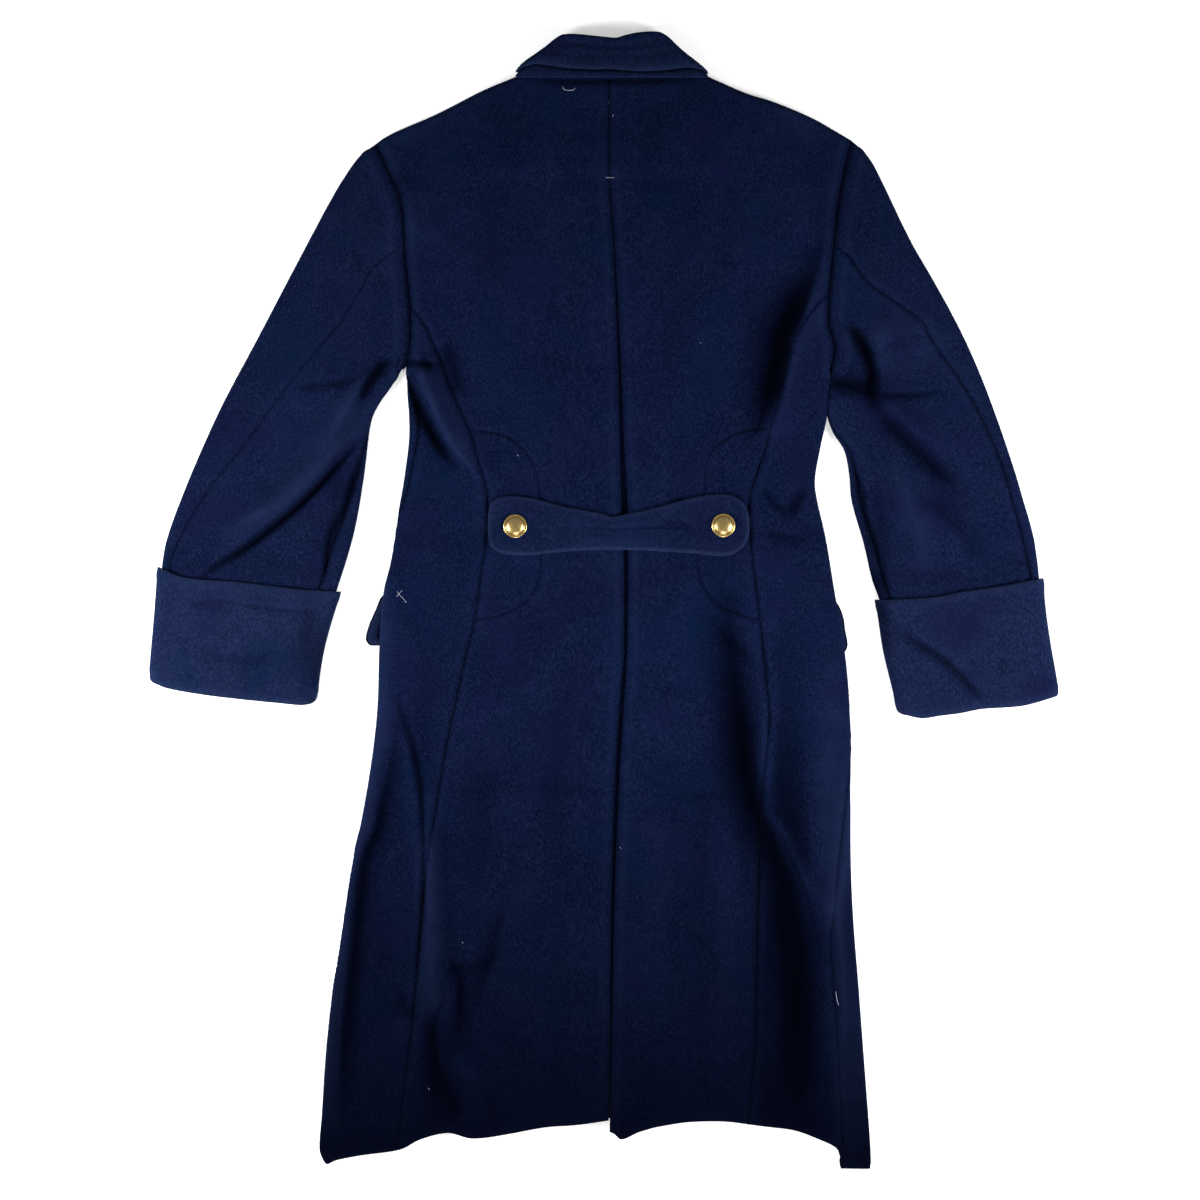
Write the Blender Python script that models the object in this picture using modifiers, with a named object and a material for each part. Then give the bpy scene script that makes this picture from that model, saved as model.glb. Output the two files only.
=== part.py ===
"""A double-breasted wool greatcoat laid flat, face down.

The coat lies on its fronts with the collar towards +Y and the hem towards -Y.  Every cut piece is a wall of
heavy cloth: a top sheet (backs, side backs, sleeves), a bottom sheet (fronts), and rolled edges between them.
Tables are in millimetres; each half of the coat is worked out in its own mirrored frame, where x is negative
towards the sleeve, and is turned back to the coat's frame at the end.
"""

from collections import namedtuple
from math import pi

import bmesh
import bpy
import numpy as np
from mathutils import Vector
from mathutils.bvhtree import BVHTree

MM = 0.001

# Cloth and layers
WALL = 3.0              # thickness of the greatcoat cloth
AIR = 3.5               # space between the bottom and top sheets
SHEETS = 2 * WALL + AIR # height of the top sheet's outer face
ROLL = 6.0              # how far the cloth takes to turn over at an edge
ARC = 8.5               # length of cloth in a quarter of that turn
GAP = 0.2               # each side's share of a seam's gap
SIDE_GAP = 0.5          # the same on the side seam, which runs over the edge
ON_EDGE = 1.2           # a seam that lies closer than this to the outermost edge is laid on the edge itself
LAYER = 3.4             # rise of a sheet that has one more layer of cloth under it
EDGE = 0.5              # half the gap of a seam that lies on the outermost edge
LAP = 60.0              # half width of the double layer at centre front
LAP_RAMP = 32.0         # width over which the sheets come down beside it
LAP_LIFT = 4.7          # rise of the front that lies on the other one
CUFF_LIFT = 0.9         # clearance between sleeve and cuff
CUFF_WALL = 4.0         # the turned-back cuff is a little thicker than one layer

BELT_WALL = 4.0         # two layers, pressed
BELT_STEP = 11.0        # greatest distance between the belt's stations
BELT_CLEAR = 0.4        # between the belt and what it lies on
BELT_REACH = 8.0        # how far round a point the highest cloth carries it
BUTTON_DOME = (10.6, 1.4, 5.0)      # radius of the dome, the height that it starts at, and its own height
BUTTON_CLEAR = 0.3      # between a button and the belt

CENTRE = (0.2, -4.3, 0.0)   # from the tables' origin to the middle of the coat's box

Point = namedtuple("Point", "x y")
Hang = namedtuple("Hang", "y w")          # a seam's distance w from the outermost edge, negative underneath
Opening = namedtuple("Opening", "y gap")
Fold = namedtuple("Fold", "rise near far path")
BeltCut = namedtuple("BeltCut", "x low high")
Half = namedtuple("Half", "name sign axis shoulder outer inner side armhole seam half_moon hem hang elbow forearm "
                          "cuff_top cuff_end")


def points(*pairs):
    return [Point(*pair) for pair in pairs]


# The coat's halves.  Left and right are the wearer's, which in this view from behind are also the viewer's.
LEFT = Half(
    name="left", sign=1,
    axis=points((-230, 400), (-385, -45)),
    shoulder=points((-94.5, 562), (-133.2, 545.8), (-182.4, 521.2), (-225.2, 502.7), (-238.1, 495.5),
                    (-244.5, 490.6)),
    outer=points((-244.5, 490.6), (-261.6, 477.8), (-277.7, 456.4), (-293.7, 429.6), (-328, 365.4),
                 (-372.9, 279.8), (-407.1, 215.6), (-429.6, 167.5), (-454.2, 108.6), (-469.2, 65.8),
                 (-473.5, 37), (-475.2, 10), (-478.4, -30), (-481.5, -66), (-481.5, -96)),
    inner=points((-213, 251.5), (-216.7, 248.8), (-229.5, 228.4), (-240.2, 213.5), (-248.8, 196.3),
                 (-253.5, 170), (-261.6, 108.6), (-270.2, 65.8), (-283, 22), (-299.1, -29.5), (-306.6, -61.6),
                 (-313.5, -112)),
    side=points((-213, 251.5), (-211, 226.3), (-209.2, 178), (-214.5, 130), (-221, 92.6), (-228.4, 42.3),
                (-237, 7), (-241, -46.5), (-243.4, -116.1), (-254.1, -201.7), (-272.3, -298),
                (-284.6, -383.6), (-296.9, -469.2), (-303.3, -554.8), (-305, -603)),
    armhole=points((-244.5, 490.6), (-232.7, 464.9), (-218.8, 431.7), (-214.5, 406.1), (-213.5, 376.1),
                   (-209.2, 333.3), (-207, 300), (-208.5, 270), (-213, 251.5)),
    seam=points((-190, 292), (-174.9, 256.3), (-165.3, 228.4), (-145, 183.5), (-135.4, 151.4),
                (-126.8, 122.5), (-123.6, 92.6), (-124.7, 71.2), (-131.1, 35.8), (-138.6, -18.7),
                (-149.3, -62.6), (-170.7, -164.2), (-188.9, -276.6), (-202.8, -426.4), (-216.7, -539.8),
                (-219.9, -587)),
    half_moon=points((-145, 183.5), (-120.4, 181), (-99, 173.9), (-81.9, 156.8), (-71.2, 130), (-69, 81.9),
                     (-67.9, 33.7), (-75.4, 10.2), (-95.8, -8), (-120, -16.6), (-138.6, -18.7)),
    hem=points((-305, -597), (-298, -603), (-288.4, -598.7), (-261.6, -593.3), (-218.8, -586.9),
               (-197.4, -576.2), (-167.5, -569.2), (-141.8, -575.1), (-101.1, -569.8), (-61.5, -562.3),
               (-26.2, -559.1), (2.7, -554.8)),
    hang=[Hang(260, 0), Hang(251.5, 0), Hang(230, 4), Hang(205, 12), Hang(183, 13), Hang(146, 9), Hang(121, 8),
          Hang(93, 4), Hang(70, 0), Hang(20, -10), Hang(-40, -22), Hang(-120, -30), Hang(-620, -34)],
    elbow=points((-214, 384), (-248.8, 356.8), (-261.6, 333.3), (-283, 299.1), (-325.8, 247.7), (-357.9, 204.9),
                 (-390, 162.1), (-420, 124.7), (-443.5, 88), (-458, 58), (-464, 37), (-467, -30), (-470, -110)),
    forearm=[Hang(260, 0), Hang(251.5, 0), Hang(200, 1), Hang(150, 6), Hang(103, 14), Hang(55, 21),
             Hang(14, 21), Hang(-120, 21)],
    cuff_top=points((-490, 41), (-475.6, 36.9), (-454.2, 27.3), (-432.8, 24.1), (-390, 20.9), (-325.8, 13.4),
                    (-285.2, 11.2), (-275, 11)),
    cuff_end=points((-487, -70), (-483.1, -82), (-477.8, -88), (-467.1, -92.6), (-432.8, -99), (-390, -104.3),
                    (-347.2, -108.6), (-320.5, -110.8), (-314, -108), (-309, -101), (-300, -95)),
)

RIGHT = Half(
    name="right", sign=-1,
    axis=points((245, 400), (385, -50)),
    shoulder=points((110.5, 562), (151.4, 544.7), (178.2, 536.6), (209.2, 524.2), (229.5, 514.6),
                    (249.8, 502.7), (263.8, 494.6)),
    outer=points((263.8, 494.6), (274.5, 485.2), (285.2, 473), (296.9, 451), (328, 386.8), (352.6, 344),
                 (376.1, 301.2), (396.4, 258.4), (413.6, 215.6), (436, 151.4), (448.9, 108.6), (460.6, 65.8),
                 (464.8, 26.2), (467, -5), (472.5, -45), (479, -82), (482, -108)),
    inner=points((241.5, 250), (240.8, 225), (241.2, 200), (246.6, 179.2), (257.3, 162.1), (262.7, 135),
                 (264.8, 108.6), (276.6, 65.8), (286.5, 23), (294.5, -1), (302.8, -51.9), (313, -94.7),
                 (319, -124)),
    side=points((241.5, 250), (238, 225), (235.5, 195), (230.6, 162.1), (225.2, 130), (227.4, 108.6),
                (235.9, 71.2), (245.6, 12.3), (257.3, -57.2), (262.7, -116.1), (264.3, -153.5), (263, -212.4),
                (265.5, -319.4), (273.4, -426.4), (279.8, -512), (285.2, -586.9), (285, -608)),
    armhole=points((263.8, 494.6), (257.3, 466), (248.8, 420), (246.3, 395.4), (240.2, 345.1),
                   (238.1, 305), (239.5, 275), (241.5, 250)),
    seam=points((217.7, 306), (204.9, 285), (195.3, 256.3), (186.7, 213.5), (177.1, 185.6), (170.7, 157.8),
                (158, 122), (153.5, 97.9), (155.7, 65.8), (161, 23), (166, -18.7), (172.8, -84),
                (175.5, -126.8), (168.5, -201.7), (163.2, -340.8), (160, -479.9), (153.5, -560)),
    half_moon=points((177.1, 185.6), (155.7, 184), (134.3, 177), (117.2, 164.2), (108.6, 146.1),
                     (107.5, 116.1), (103.3, 81.9), (99, 50.8), (103.3, 20.9), (118.2, -0.5), (145, -14.4),
                     (166, -18.7)),
    hem=points((285, -597), (262, -594), (247.7, -584.7), (230.6, -576.2), (203.8, -566.6), (171.7, -562.3),
               (123.6, -556.4), (64.7, -560.1), (38, -566.6), (17.7, -575.1), (10.2, -568.7), (2.7, -566)),
    hang=[Hang(260, 0), Hang(250, 0), Hang(200, -3), Hang(100, -6), Hang(0, -6), Hang(-120, -4), Hang(-180, 4),
          Hang(-244, 11), Hang(-309, 20), Hang(-362, 29), Hang(-469, 30), Hang(-587, 34), Hang(-620, 34)],
    elbow=points((245.3, 384), (262.7, 367.5), (281.9, 341.9), (297, 331), (337.6, 301.2), (348.3, 281.9),
                 (380.4, 237), (401.8, 199.6), (423.2, 151.4), (439.2, 97.9), (449, 60), (455, 25),
                 (458, -40), (466, -120)),
    forearm=[Hang(260, 0), Hang(250, 0), Hang(200, 2), Hang(150, 8), Hang(108, 11), Hang(60, 14), Hang(7, 14),
             Hang(-130, 14)],
    cuff_top=points((275, 2.7), (289.4, 2.7), (305.5, 2.1), (337.6, 3.7), (359, 5.9), (380.4, 10.2),
                    (423.2, 16.6), (468.1, 25.1), (480, 27)),
    cuff_end=points((305, -103), (313, -112), (318, -119), (337.6, -124.7), (359, -122), (380.4, -119.3),
                    (401.8, -115), (444.6, -111.8), (466, -106.5), (481, -101), (485.5, -94), (489, -85)),
)
HALVES = (LEFT, RIGHT)

CENTRE_BACK = points((4.8, 562), (5.4, 453), (10.2, 380), (14.4, 291.6), (16.6, 237), (19.3, 151), (21.4, 103),
                     (23, 52), (23, 1.6), (21.9, -62.6), (18.7, -105), (13.4, -191), (9.1, -319), (5.9, -512),
                     (4.8, -568))
PLEAT = [Opening(-580, 1.0), Opening(-448, 1.6), Opening(-319, 2.8), Opening(-213, 4.4), Opening(-105, 4.4),
         Opening(-62, 3), Opening(20, 4), Opening(60, 5), Opening(103, 6.6), Opening(170, 4), Opening(237, 2.6),
         Opening(380, 1.0), Opening(453, 0.4), Opening(562, 0.4)]

# The largest folds of the top sheet, as they lie in the coat's frame.  rise is in millimetres, near and far are
# the widths to the left and right of the path, looking along it.
FOLDS = [
    # left side: ridge that the back makes at the armpit, and the valley on its outer side
    Fold(9, 16, 10, points((-207, 272), (-190, 240), (-176, 205), (-158, 170), (-136, 140))),
    Fold(-3, 12, 16, points((-203, 225), (-190, 190), (-172, 150))),
    # right side: overhanging edge of the back and the deep valley beside it
    Fold(9, 22, 7, points((228, 368), (214, 315), (206, 285), (192, 230), (180, 190), (170, 156))),
    Fold(-3, 14, 14, points((232, 300), (219, 240), (206, 190), (197, 140), (203, 85))),
    # armpit ridge and the sharp diagonal of the left sleeve
    Fold(9, 12, 18, points((-242, 256), (-256, 238), (-271, 212), (-285, 190), (-300, 150))),
    Fold(8, 9, 22, points((-262, 178), (-284, 152), (-326, 105), (-368, 68), (-412, 41))),
    Fold(6, 18, 22, points((-345, 222), (-310, 234), (-278, 240))),
    # right sleeve
    Fold(8, 12, 16, points((263, 290), (276, 262), (290, 228), (318, 196), (352, 168))),
    Fold(6, 20, 20, points((286, 300), (316, 290), (352, 286))),
    Fold(7, 16, 20, points((330, 110), (360, 80), (392, 60))),
    # skirt, left side
    Fold(7, 14, 10, points((-222, -110), (-205, -170), (-198, -230), (-197, -320))),
    Fold(9, 12, 14, points((-187, -215), (-183, -300), (-184, -400), (-190, -480))),
    Fold(8, 18, 26, points((-262, -180), (-268, -260), (-280, -340), (-288, -430), (-292, -540))),
    Fold(7, 30, 34, points((-95, -170), (-88, -260), (-84, -360))),
    Fold(6, 26, 30, points((-120, -440), (-112, -500), (-110, -566))),
    # skirt, right side
    Fold(10, 12, 20, points((169, -110), (170, -200), (180, -240), (198, -285), (216, -310), (242, -350))),
    Fold(7, 22, 26, points((226, -400), (222, -480), (226, -560))),
    Fold(8, 34, 24, points((128, -150), (130, -260), (126, -400), (120, -540))),
    Fold(6, 24, 26, points((60, -190), (62, -300), (58, -420))),
    # shoulders
    Fold(5, 22, 24, points((-196, 460), (-200, 420), (-196, 380))),
    Fold(5, 24, 22, points((200, 470), (206, 420), (206, 370))),
]

BELT = [BeltCut(-124.7, 74, 92), BeltCut(-122, 60, 104), BeltCut(-115, 53.5, 110), BeltCut(-106, 50.5, 112.6),
        BeltCut(-94, 49.5, 112.8), BeltCut(-75, 49.8, 110), BeltCut(-45, 53, 102), BeltCut(-5, 55, 94.5),
        BeltCut(8, 55, 91), BeltCut(22, 55, 93), BeltCut(50, 54, 99), BeltCut(92, 51.5, 110.5),
        BeltCut(110, 49.8, 114), BeltCut(127, 48.6, 115.2), BeltCut(138, 50.5, 112.5), BeltCut(148, 58, 106),
        BeltCut(153, 67, 97), BeltCut(155.2, 76, 88)]
BUTTONS = {"left": Point(-95.4, 80.5), "right": Point(127.0, 81.3)}
BUTTON_RIM = points((11.2, 1.9), (11.9, 2.5), (12.7, 1.7), (12.4, 0.6), (10.5, 0.0))    # radius and height

# Where other layers lift the sheets: each pair is where a rise starts and where it is complete
COLLAR_Y, COLLAR_ASIDE = (448, 468), (165, 118)         # under the collar; aside is the distance from x = 0
FLAP_LOW, FLAP_TOP = (-130, -96), (82, 48)              # over the pocket flaps
FLAP_INNER, FLAP_OUTER = (55, 85), (300, 280)
LAP_ASIDE, LAP_TOP = (LAP + LAP_RAMP, LAP), (530, 480)  # over the doubled front
UNDERLAY_MIDDLE = 12.0
UNDERLAY_ASIDE, UNDERLAY_TOP = (78, 48), (470, 430)     # over the pleat's underlay
PRESS_CENTRE, PRESS_RADII = Point(15, 82), Point(170, 62)       # the flat place under the belt
PRESS_MARGIN = (0.9, 1.25)

# The collar, as a band round the neck: its visible part at the back, then its plain fronts underneath
COLLAR_ROLL = 9.0
COLLAR_ARC = 13.4
COLLAR_HEIGHT = 16.3
FOLD_RADIUS = 3.2
COLLAR_LEFT = points((-98, 420), (-98, 562), (-95.5, 568), (-88, 576.5), (-69.5, 590), (-58.5, 599),
                     (-52, 610))
COLLAR_RIGHT = points((114, 420), (114, 560), (110.5, 568), (100, 577), (84, 590), (72, 602), (66, 612))
FOLD_LINE = points((-60, 598), (-49, 605), (-39, 606.8), (-26, 606.4), (0, 603.8), (13, 602.8), (20, 605),
                   (33, 608), (48, 609.5), (58, 609), (66, 607), (75, 601))
FALL_EDGE = points((-100, 569), (-85, 570), (-70, 573), (-38, 571.4), (-18, 570), (0, 567.6), (8, 567),
                   (39, 569), (77, 572), (96, 572), (116, 568))


# ---------------------------------------------------------------- curves

def smooth(table, step=3.0):
    """A Catmull-Rom curve through a table of points, read about every step millimetres."""
    p = np.array([(q.x, q.y) for q in table], float)
    p = np.vstack([2 * p[0] - p[1], p, 2 * p[-1] - p[-2]])
    out = [p[1]]
    for a, b, c, d in zip(p, p[1:], p[2:], p[3:]):
        chord = np.linalg.norm(c - b)
        start = (c - a) * chord / (np.linalg.norm(c - b) + np.linalg.norm(b - a))
        end = (d - b) * chord / (np.linalg.norm(d - c) + np.linalg.norm(c - b))
        for t in np.linspace(0, 1, max(2, int(chord / step) + 1))[1:]:
            out.append((2 * t**3 - 3 * t**2 + 1) * b + (t**3 - 2 * t**2 + t) * start
                       + (3 * t**2 - 2 * t**3) * c + (t**3 - t**2) * end)
    return np.array(out)


def lengths(curve):
    steps = np.linalg.norm(np.diff(curve, axis=0), axis=1)
    return np.concatenate([[0], np.cumsum(steps)])


def at_length(curve, s):
    run = lengths(curve)
    return np.column_stack([np.interp(s, run, curve[:, 0]), np.interp(s, run, curve[:, 1])])


def evenly(curve, count):
    return at_length(curve, np.linspace(0, lengths(curve)[-1], count + 1))


def x_at(curve, y):
    order = np.argsort(curve[:, 1])
    return np.interp(y, curve[order, 1], curve[order, 0])


def y_at(curve, x):
    order = np.argsort(curve[:, 0])
    return np.interp(x, curve[order, 0], curve[order, 1])


def inset(line, gap):
    """The line moved to its right by gap, looking along it."""
    d = np.diff(line, axis=0)
    d /= np.linalg.norm(d, axis=1)[:, None]
    n = np.column_stack([d[:, 1], -d[:, 0]])
    before = np.vstack([n[:1], n])
    after = np.vstack([n, n[-1:]])
    miter = before + after
    miter /= np.maximum((miter * after).sum(1), 0.3)[:, None]
    return line + gap * miter


def ramp(value, start, end):
    t = np.clip((value - start) / (end - start), 0, 1)
    return t * t * (3 - 2 * t)


def to_segments(x, y, line):
    """Distance to a polyline, the side of it (positive to its right), how far along it, and the nearest part."""
    a, b = line[:-1], line[1:]
    d = b - a
    size = np.linalg.norm(d, axis=1)
    px = x[:, None] - a[None, :, 0]
    py = y[:, None] - a[None, :, 1]
    t = np.clip((px * d[:, 0] + py * d[:, 1]) / size**2, 0, 1)
    distance = np.hypot(px - t * d[:, 0], py - t * d[:, 1])
    k = distance.argmin(1)
    i = np.arange(len(x))
    side = np.sign(px[i, k] * d[k, 1] - py[i, k] * d[k, 0])
    along = (lengths(line)[k] + t[i, k] * size[k]) / size.sum()
    return distance[i, k], side, along, k, t[i, k]


# ---------------------------------------------------------------- how high the cloth lies

FOLD_LINES = [(fold, smooth(fold.path, 12.0)) for fold in FOLDS]


def folds(x, y):
    total = np.zeros_like(x)
    for fold, line in FOLD_LINES:
        margin = 3 * max(fold.near, fold.far)
        low, high = line.min(0) - margin, line.max(0) + margin
        here = (x > low[0]) & (x < high[0]) & (y > low[1]) & (y < high[1])
        if not here.any():
            continue
        distance, side, along, _, _ = to_segments(x[here], y[here], line)
        width = np.where(side > 0, fold.far, fold.near)
        taper = ramp(along, -0.02, 0.3) * ramp(-along, -1.02, -0.7)
        total[here] += fold.rise * (0.25 + 0.75 * taper) * np.exp(-(distance / width) ** 2)
    return total


def heights(x, y, cover=0.0):
    """Outer faces of the top and bottom sheets.  cover is 1 where a sleeve lies inside its cuff."""
    aside = abs(x)
    collar = ramp(y, *COLLAR_Y) * ramp(aside, *COLLAR_ASIDE)
    flap = ramp(y, *FLAP_LOW) * ramp(y, *FLAP_TOP) * ramp(aside, *FLAP_INNER) * ramp(aside, *FLAP_OUTER)
    under = LAYER * np.maximum(collar, flap) + (CUFF_LIFT + CUFF_WALL) * cover
    lap = ramp(aside, *LAP_ASIDE) * ramp(y, *LAP_TOP)
    underlay = ramp(abs(x - UNDERLAY_MIDDLE), *UNDERLAY_ASIDE) * ramp(y, *UNDERLAY_TOP)
    beside_belt = np.hypot((x - PRESS_CENTRE.x) / PRESS_RADII.x, (y - PRESS_CENTRE.y) / PRESS_RADII.y)
    free = ramp(beside_belt, *PRESS_MARGIN) * (1 - cover)
    return under + SHEETS + LAYER * (lap + underlay) + free * folds(x, y), under


class Edges:
    """Outermost edges, where the cloth turns from the top sheet to the bottom one."""

    def __init__(self, roll, *lines):
        self.roll = roll
        self.lines = lines

    def look(self, x, y):
        """Distance from the nearest edge, at most the roll's width, and the outward direction there."""
        best = np.full(len(x), self.roll)
        out = np.zeros((len(x), 2))
        for line, turn in self.lines:
            d = np.diff(line, axis=0)
            d /= np.linalg.norm(d, axis=1)[:, None]
            n = turn * np.column_stack([d[:, 1], -d[:, 0]])
            corner = np.vstack([n[:1], n[:-1] + n[1:], n[-1:]])
            corner /= np.linalg.norm(corner, axis=1)[:, None]
            distance, _, _, k, t = to_segments(x, y, line)
            near = distance < best
            best[near] = distance[near]
            mix = corner[k] * (1 - t[:, None]) + corner[k + 1] * t[:, None]
            out[near] = mix[near]
        return best, out


def face(plan, sheet, over, under, edges, depth):
    """Points at a depth inside the outer face; sheet is 1 on the top sheet and -1 on the bottom one."""
    x, y = plan[..., 0].ravel(), plan[..., 1].ravel()
    up = np.broadcast_to(sheet, plan.shape[:-1]).ravel()
    over = np.broadcast_to(over, plan.shape[:-1]).ravel()
    under = np.broadcast_to(under, plan.shape[:-1]).ravel()
    deep = np.broadcast_to(depth, plan.shape[:-1]).ravel()
    middle, half = (over + under) / 2, (over - under) / 2
    distance, out = edges.look(x, y)
    rest = 1 - distance / edges.roll
    round_off = np.sqrt(np.clip(1 - rest**2, 0, 1))
    z = middle + up * np.maximum(half * round_off, EDGE)
    normal = np.column_stack([out * (half * rest / edges.roll)[:, None], up * round_off])
    normal /= np.maximum(np.linalg.norm(normal, axis=1), 1e-6)[:, None]
    return (np.column_stack([x, y, z]) - deep[:, None] * normal).reshape(*plan.shape[:-1], 3)


def sheet_faces(half, plan, sheet, edges, cover=0.0, lift=0.0, thick=WALL):
    """A piece of one half: its outer and inner faces in the coat's frame."""
    over, under = heights(half.sign * plan[..., 0], plan[..., 1], cover)
    turn = np.array([half.sign, 1, 1])
    return [face(plan, sheet, over, under, edges, depth) * turn for depth in (-lift, thick - lift)]


# ---------------------------------------------------------------- solids

def material(name, colour, roughness, metallic=0.0):
    made = bpy.data.materials.new(name)
    made.use_nodes = True
    shader = made.node_tree.nodes["Principled BSDF"]
    shader.inputs["Base Color"].default_value = (*colour, 1)
    shader.inputs["Roughness"].default_value = roughness
    shader.inputs["Metallic"].default_value = metallic
    return made


def add(name, mesh, look):
    piece = bpy.data.objects.new(name, mesh)
    mesh.materials.append(bpy.data.materials[look])
    bpy.data.collections["greatcoat"].objects.link(piece)
    mesh.shade_smooth()
    mesh.set_sharp_from_angle(angle=0.8)
    return piece


def wall(name, outer, inner, look="navy wool", ring=False):
    """A closed piece of cloth between two grids of points; a ring joins its last column to its first."""
    rows, columns = outer.shape[:2]
    bm = bmesh.new()
    a, b = [[[bm.verts.new(p * MM) for p in row] for row in grid] for grid in (outer, inner)]
    last = columns if ring else columns - 1
    for grid in (a, b):
        for j in range(rows - 1):
            for k in range(last):
                n = (k + 1) % columns
                bm.faces.new((grid[j][k], grid[j][n], grid[j + 1][n], grid[j + 1][k]))
    for j in (0, rows - 1):
        for k in range(last):
            n = (k + 1) % columns
            bm.faces.new((a[j][k], a[j][n], b[j][n], b[j][k]))
    if not ring:
        for k in (0, columns - 1):
            for j in range(rows - 1):
                bm.faces.new((a[j][k], a[j + 1][k], b[j + 1][k], b[j][k]))
    bmesh.ops.remove_doubles(bm, verts=bm.verts, dist=0.03 * MM)
    bmesh.ops.recalc_face_normals(bm, faces=bm.faces)
    mesh = bpy.data.meshes.new(name)
    bm.to_mesh(mesh)
    bm.free()
    return add(name, mesh, look)


# ---------------------------------------------------------------- one half of the coat

STEP = ARC / 3
ROLL_STOPS = np.array([0, 0.8, 3.0, 6.0])       # where the roll's points lie, measured in from an edge


def reach(w, roll=ROLL, arc=ARC):
    """How far in from the edge a point lies that is w millimetres along the cloth from it."""
    w = abs(w)
    return np.where(w < arc, roll * (1 - np.cos(np.minimum(w, arc) / arc * pi / 2)), roll + w - arc)


def along_cloth(depth):
    """The cloth length from the edge to a point that lies depth in from it."""
    depth = np.maximum(depth, 0)
    curved = ARC * np.arccos(np.clip(1 - depth / ROLL, 0, 1)) / (pi / 2)
    return np.where(depth < ROLL, curved, ARC + depth - ROLL)


def curves(half):
    """The half's tables as fine curves, mirrored so that x is negative towards the sleeve."""
    made = {}
    for field in ("shoulder", "outer", "inner", "side", "armhole", "seam", "half_moon", "hem", "elbow",
                  "cuff_top", "cuff_end", "axis"):
        table = [Point(half.sign * p.x, p.y) for p in getattr(half, field)]
        made[field] = np.array(table, float) if field == "axis" else smooth(table)
    made["centre"] = smooth(CENTRE_BACK) * [half.sign, 1]
    return made


def from_table(table, y):
    rows = sorted(table)
    return np.interp(y, [row[0] for row in rows], [row[1] for row in rows])


ARM_TOP = 384.0                 # where the elbow seam meets the armhole
SKIRT_ROWS = 26                 # rows from the underarm to the hem
MOON_ROWS = 9
UPPER_ROWS = 3
LOWER_ROWS = SKIRT_ROWS - MOON_ROWS
BACK_COLUMNS = 8
MOON_SPAN = (228.0, -52.0)      # where the rows that pass the half-moon reach the centre back
SLEEVE_ROWS = 16
TOP_TO_ELBOW = 7                # index of the armhole stop where the elbow seam starts
TOP_TO_SEAM = 9                 # index of the armhole stop where the side-back seam starts


def armhole_stops(c):
    """Points along the armhole, from the shoulder point, that the pieces on both sides of it share."""
    run = lengths(c["armhole"])
    total = run[-1]
    elbow, seam = np.interp([-ARM_TOP, -c["seam"][0, 1] - 25], -c["armhole"][:, 1], run)
    top = np.concatenate([ROLL_STOPS, np.linspace(6, elbow, 5)[1:], np.linspace(elbow, seam, 3)[1:],
                          [(seam + total - 6) / 2, total - 6, total]])
    under = np.concatenate([ROLL_STOPS, np.linspace(6, total - 6, 5)[1:], total - ROLL_STOPS[2::-1]])
    return at_length(c["armhole"], top), at_length(c["armhole"], under)


def seam_stops(c):
    """Stops of the side-back seam: above, along and below the half-moon."""
    seam = c["seam"]
    a, b = np.interp([-c["half_moon"][0, 1], -c["half_moon"][-1, 1]], -seam[:, 1], lengths(seam))
    stops = np.concatenate([np.linspace(0, a, UPPER_ROWS + 1), np.linspace(a, b, MOON_ROWS + 1)[1:],
                            np.linspace(b, lengths(seam)[-1], LOWER_ROWS + 1)[1:]])
    line = at_length(seam, stops)
    line[UPPER_ROWS] = c["half_moon"][0]
    line[UPPER_ROWS + MOON_ROWS] = c["half_moon"][-1]
    line[-1, 1] = y_at(c["hem"], line[-1, 0])
    return line


def mixed_rows(left, right, top, bottom):
    """Straight rows between the two side lines, bent to fit the top and bottom lines."""
    run = lengths(left)
    t = (run / run[-1])[:, None, None]
    u = (lengths(top) / lengths(top)[-1])[None, :, None]
    rows = left[:, None] * (1 - u) + right[:, None] * u
    bend_top = top[None] - (left[0] * (1 - u) + right[0] * u)
    bend_bottom = bottom[None] - (left[-1] * (1 - u) + right[-1] * u)
    return rows + (1 - t) * bend_top + t * bend_bottom


def back(half, c, edges):
    arm, _ = armhole_stops(c)
    seam = seam_stops(c)
    left = np.vstack([arm[:TOP_TO_SEAM + 1], seam[:UPPER_ROWS], evenly(c["half_moon"], MOON_ROWS),
                      seam[UPPER_ROWS + MOON_ROWS + 1:]])
    above = TOP_TO_SEAM + 1 + UPPER_ROWS
    run = lengths(left)
    y_top = c["centre"][0, 1]
    y = np.concatenate([y_top - ROLL_STOPS,
                        np.interp(run[4:above], [6, run[above]], [y_top - 6, MOON_SPAN[0]]),
                        np.linspace(*MOON_SPAN, MOON_ROWS + 1),
                        np.linspace(MOON_SPAN[1], y_at(c["hem"], half.sign * 5), LOWER_ROWS + 1)[1:]])
    right = np.column_stack([x_at(c["centre"], y) - from_table(PLEAT, y) / 2, y])
    left = inset(left, -GAP)
    left[0] = arm[0] + [GAP, 0]
    shoulder = evenly(c["shoulder"][::-1], BACK_COLUMNS - 3)
    top = np.vstack([shoulder, np.linspace(shoulder[-1], right[0], 4)[1:]])
    top[0] = left[0]
    x = left[-1, 0] + (right[-1, 0] - left[-1, 0]) * lengths(top) / lengths(top)[-1]
    bottom = np.column_stack([x, y_at(c["hem"], x)])
    left[-1] = bottom[0]
    right[-1] = bottom[-1]
    wall(f"back_{half.name}", *sheet_faces(half, mixed_rows(left, right, top, bottom), 1, edges))


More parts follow.
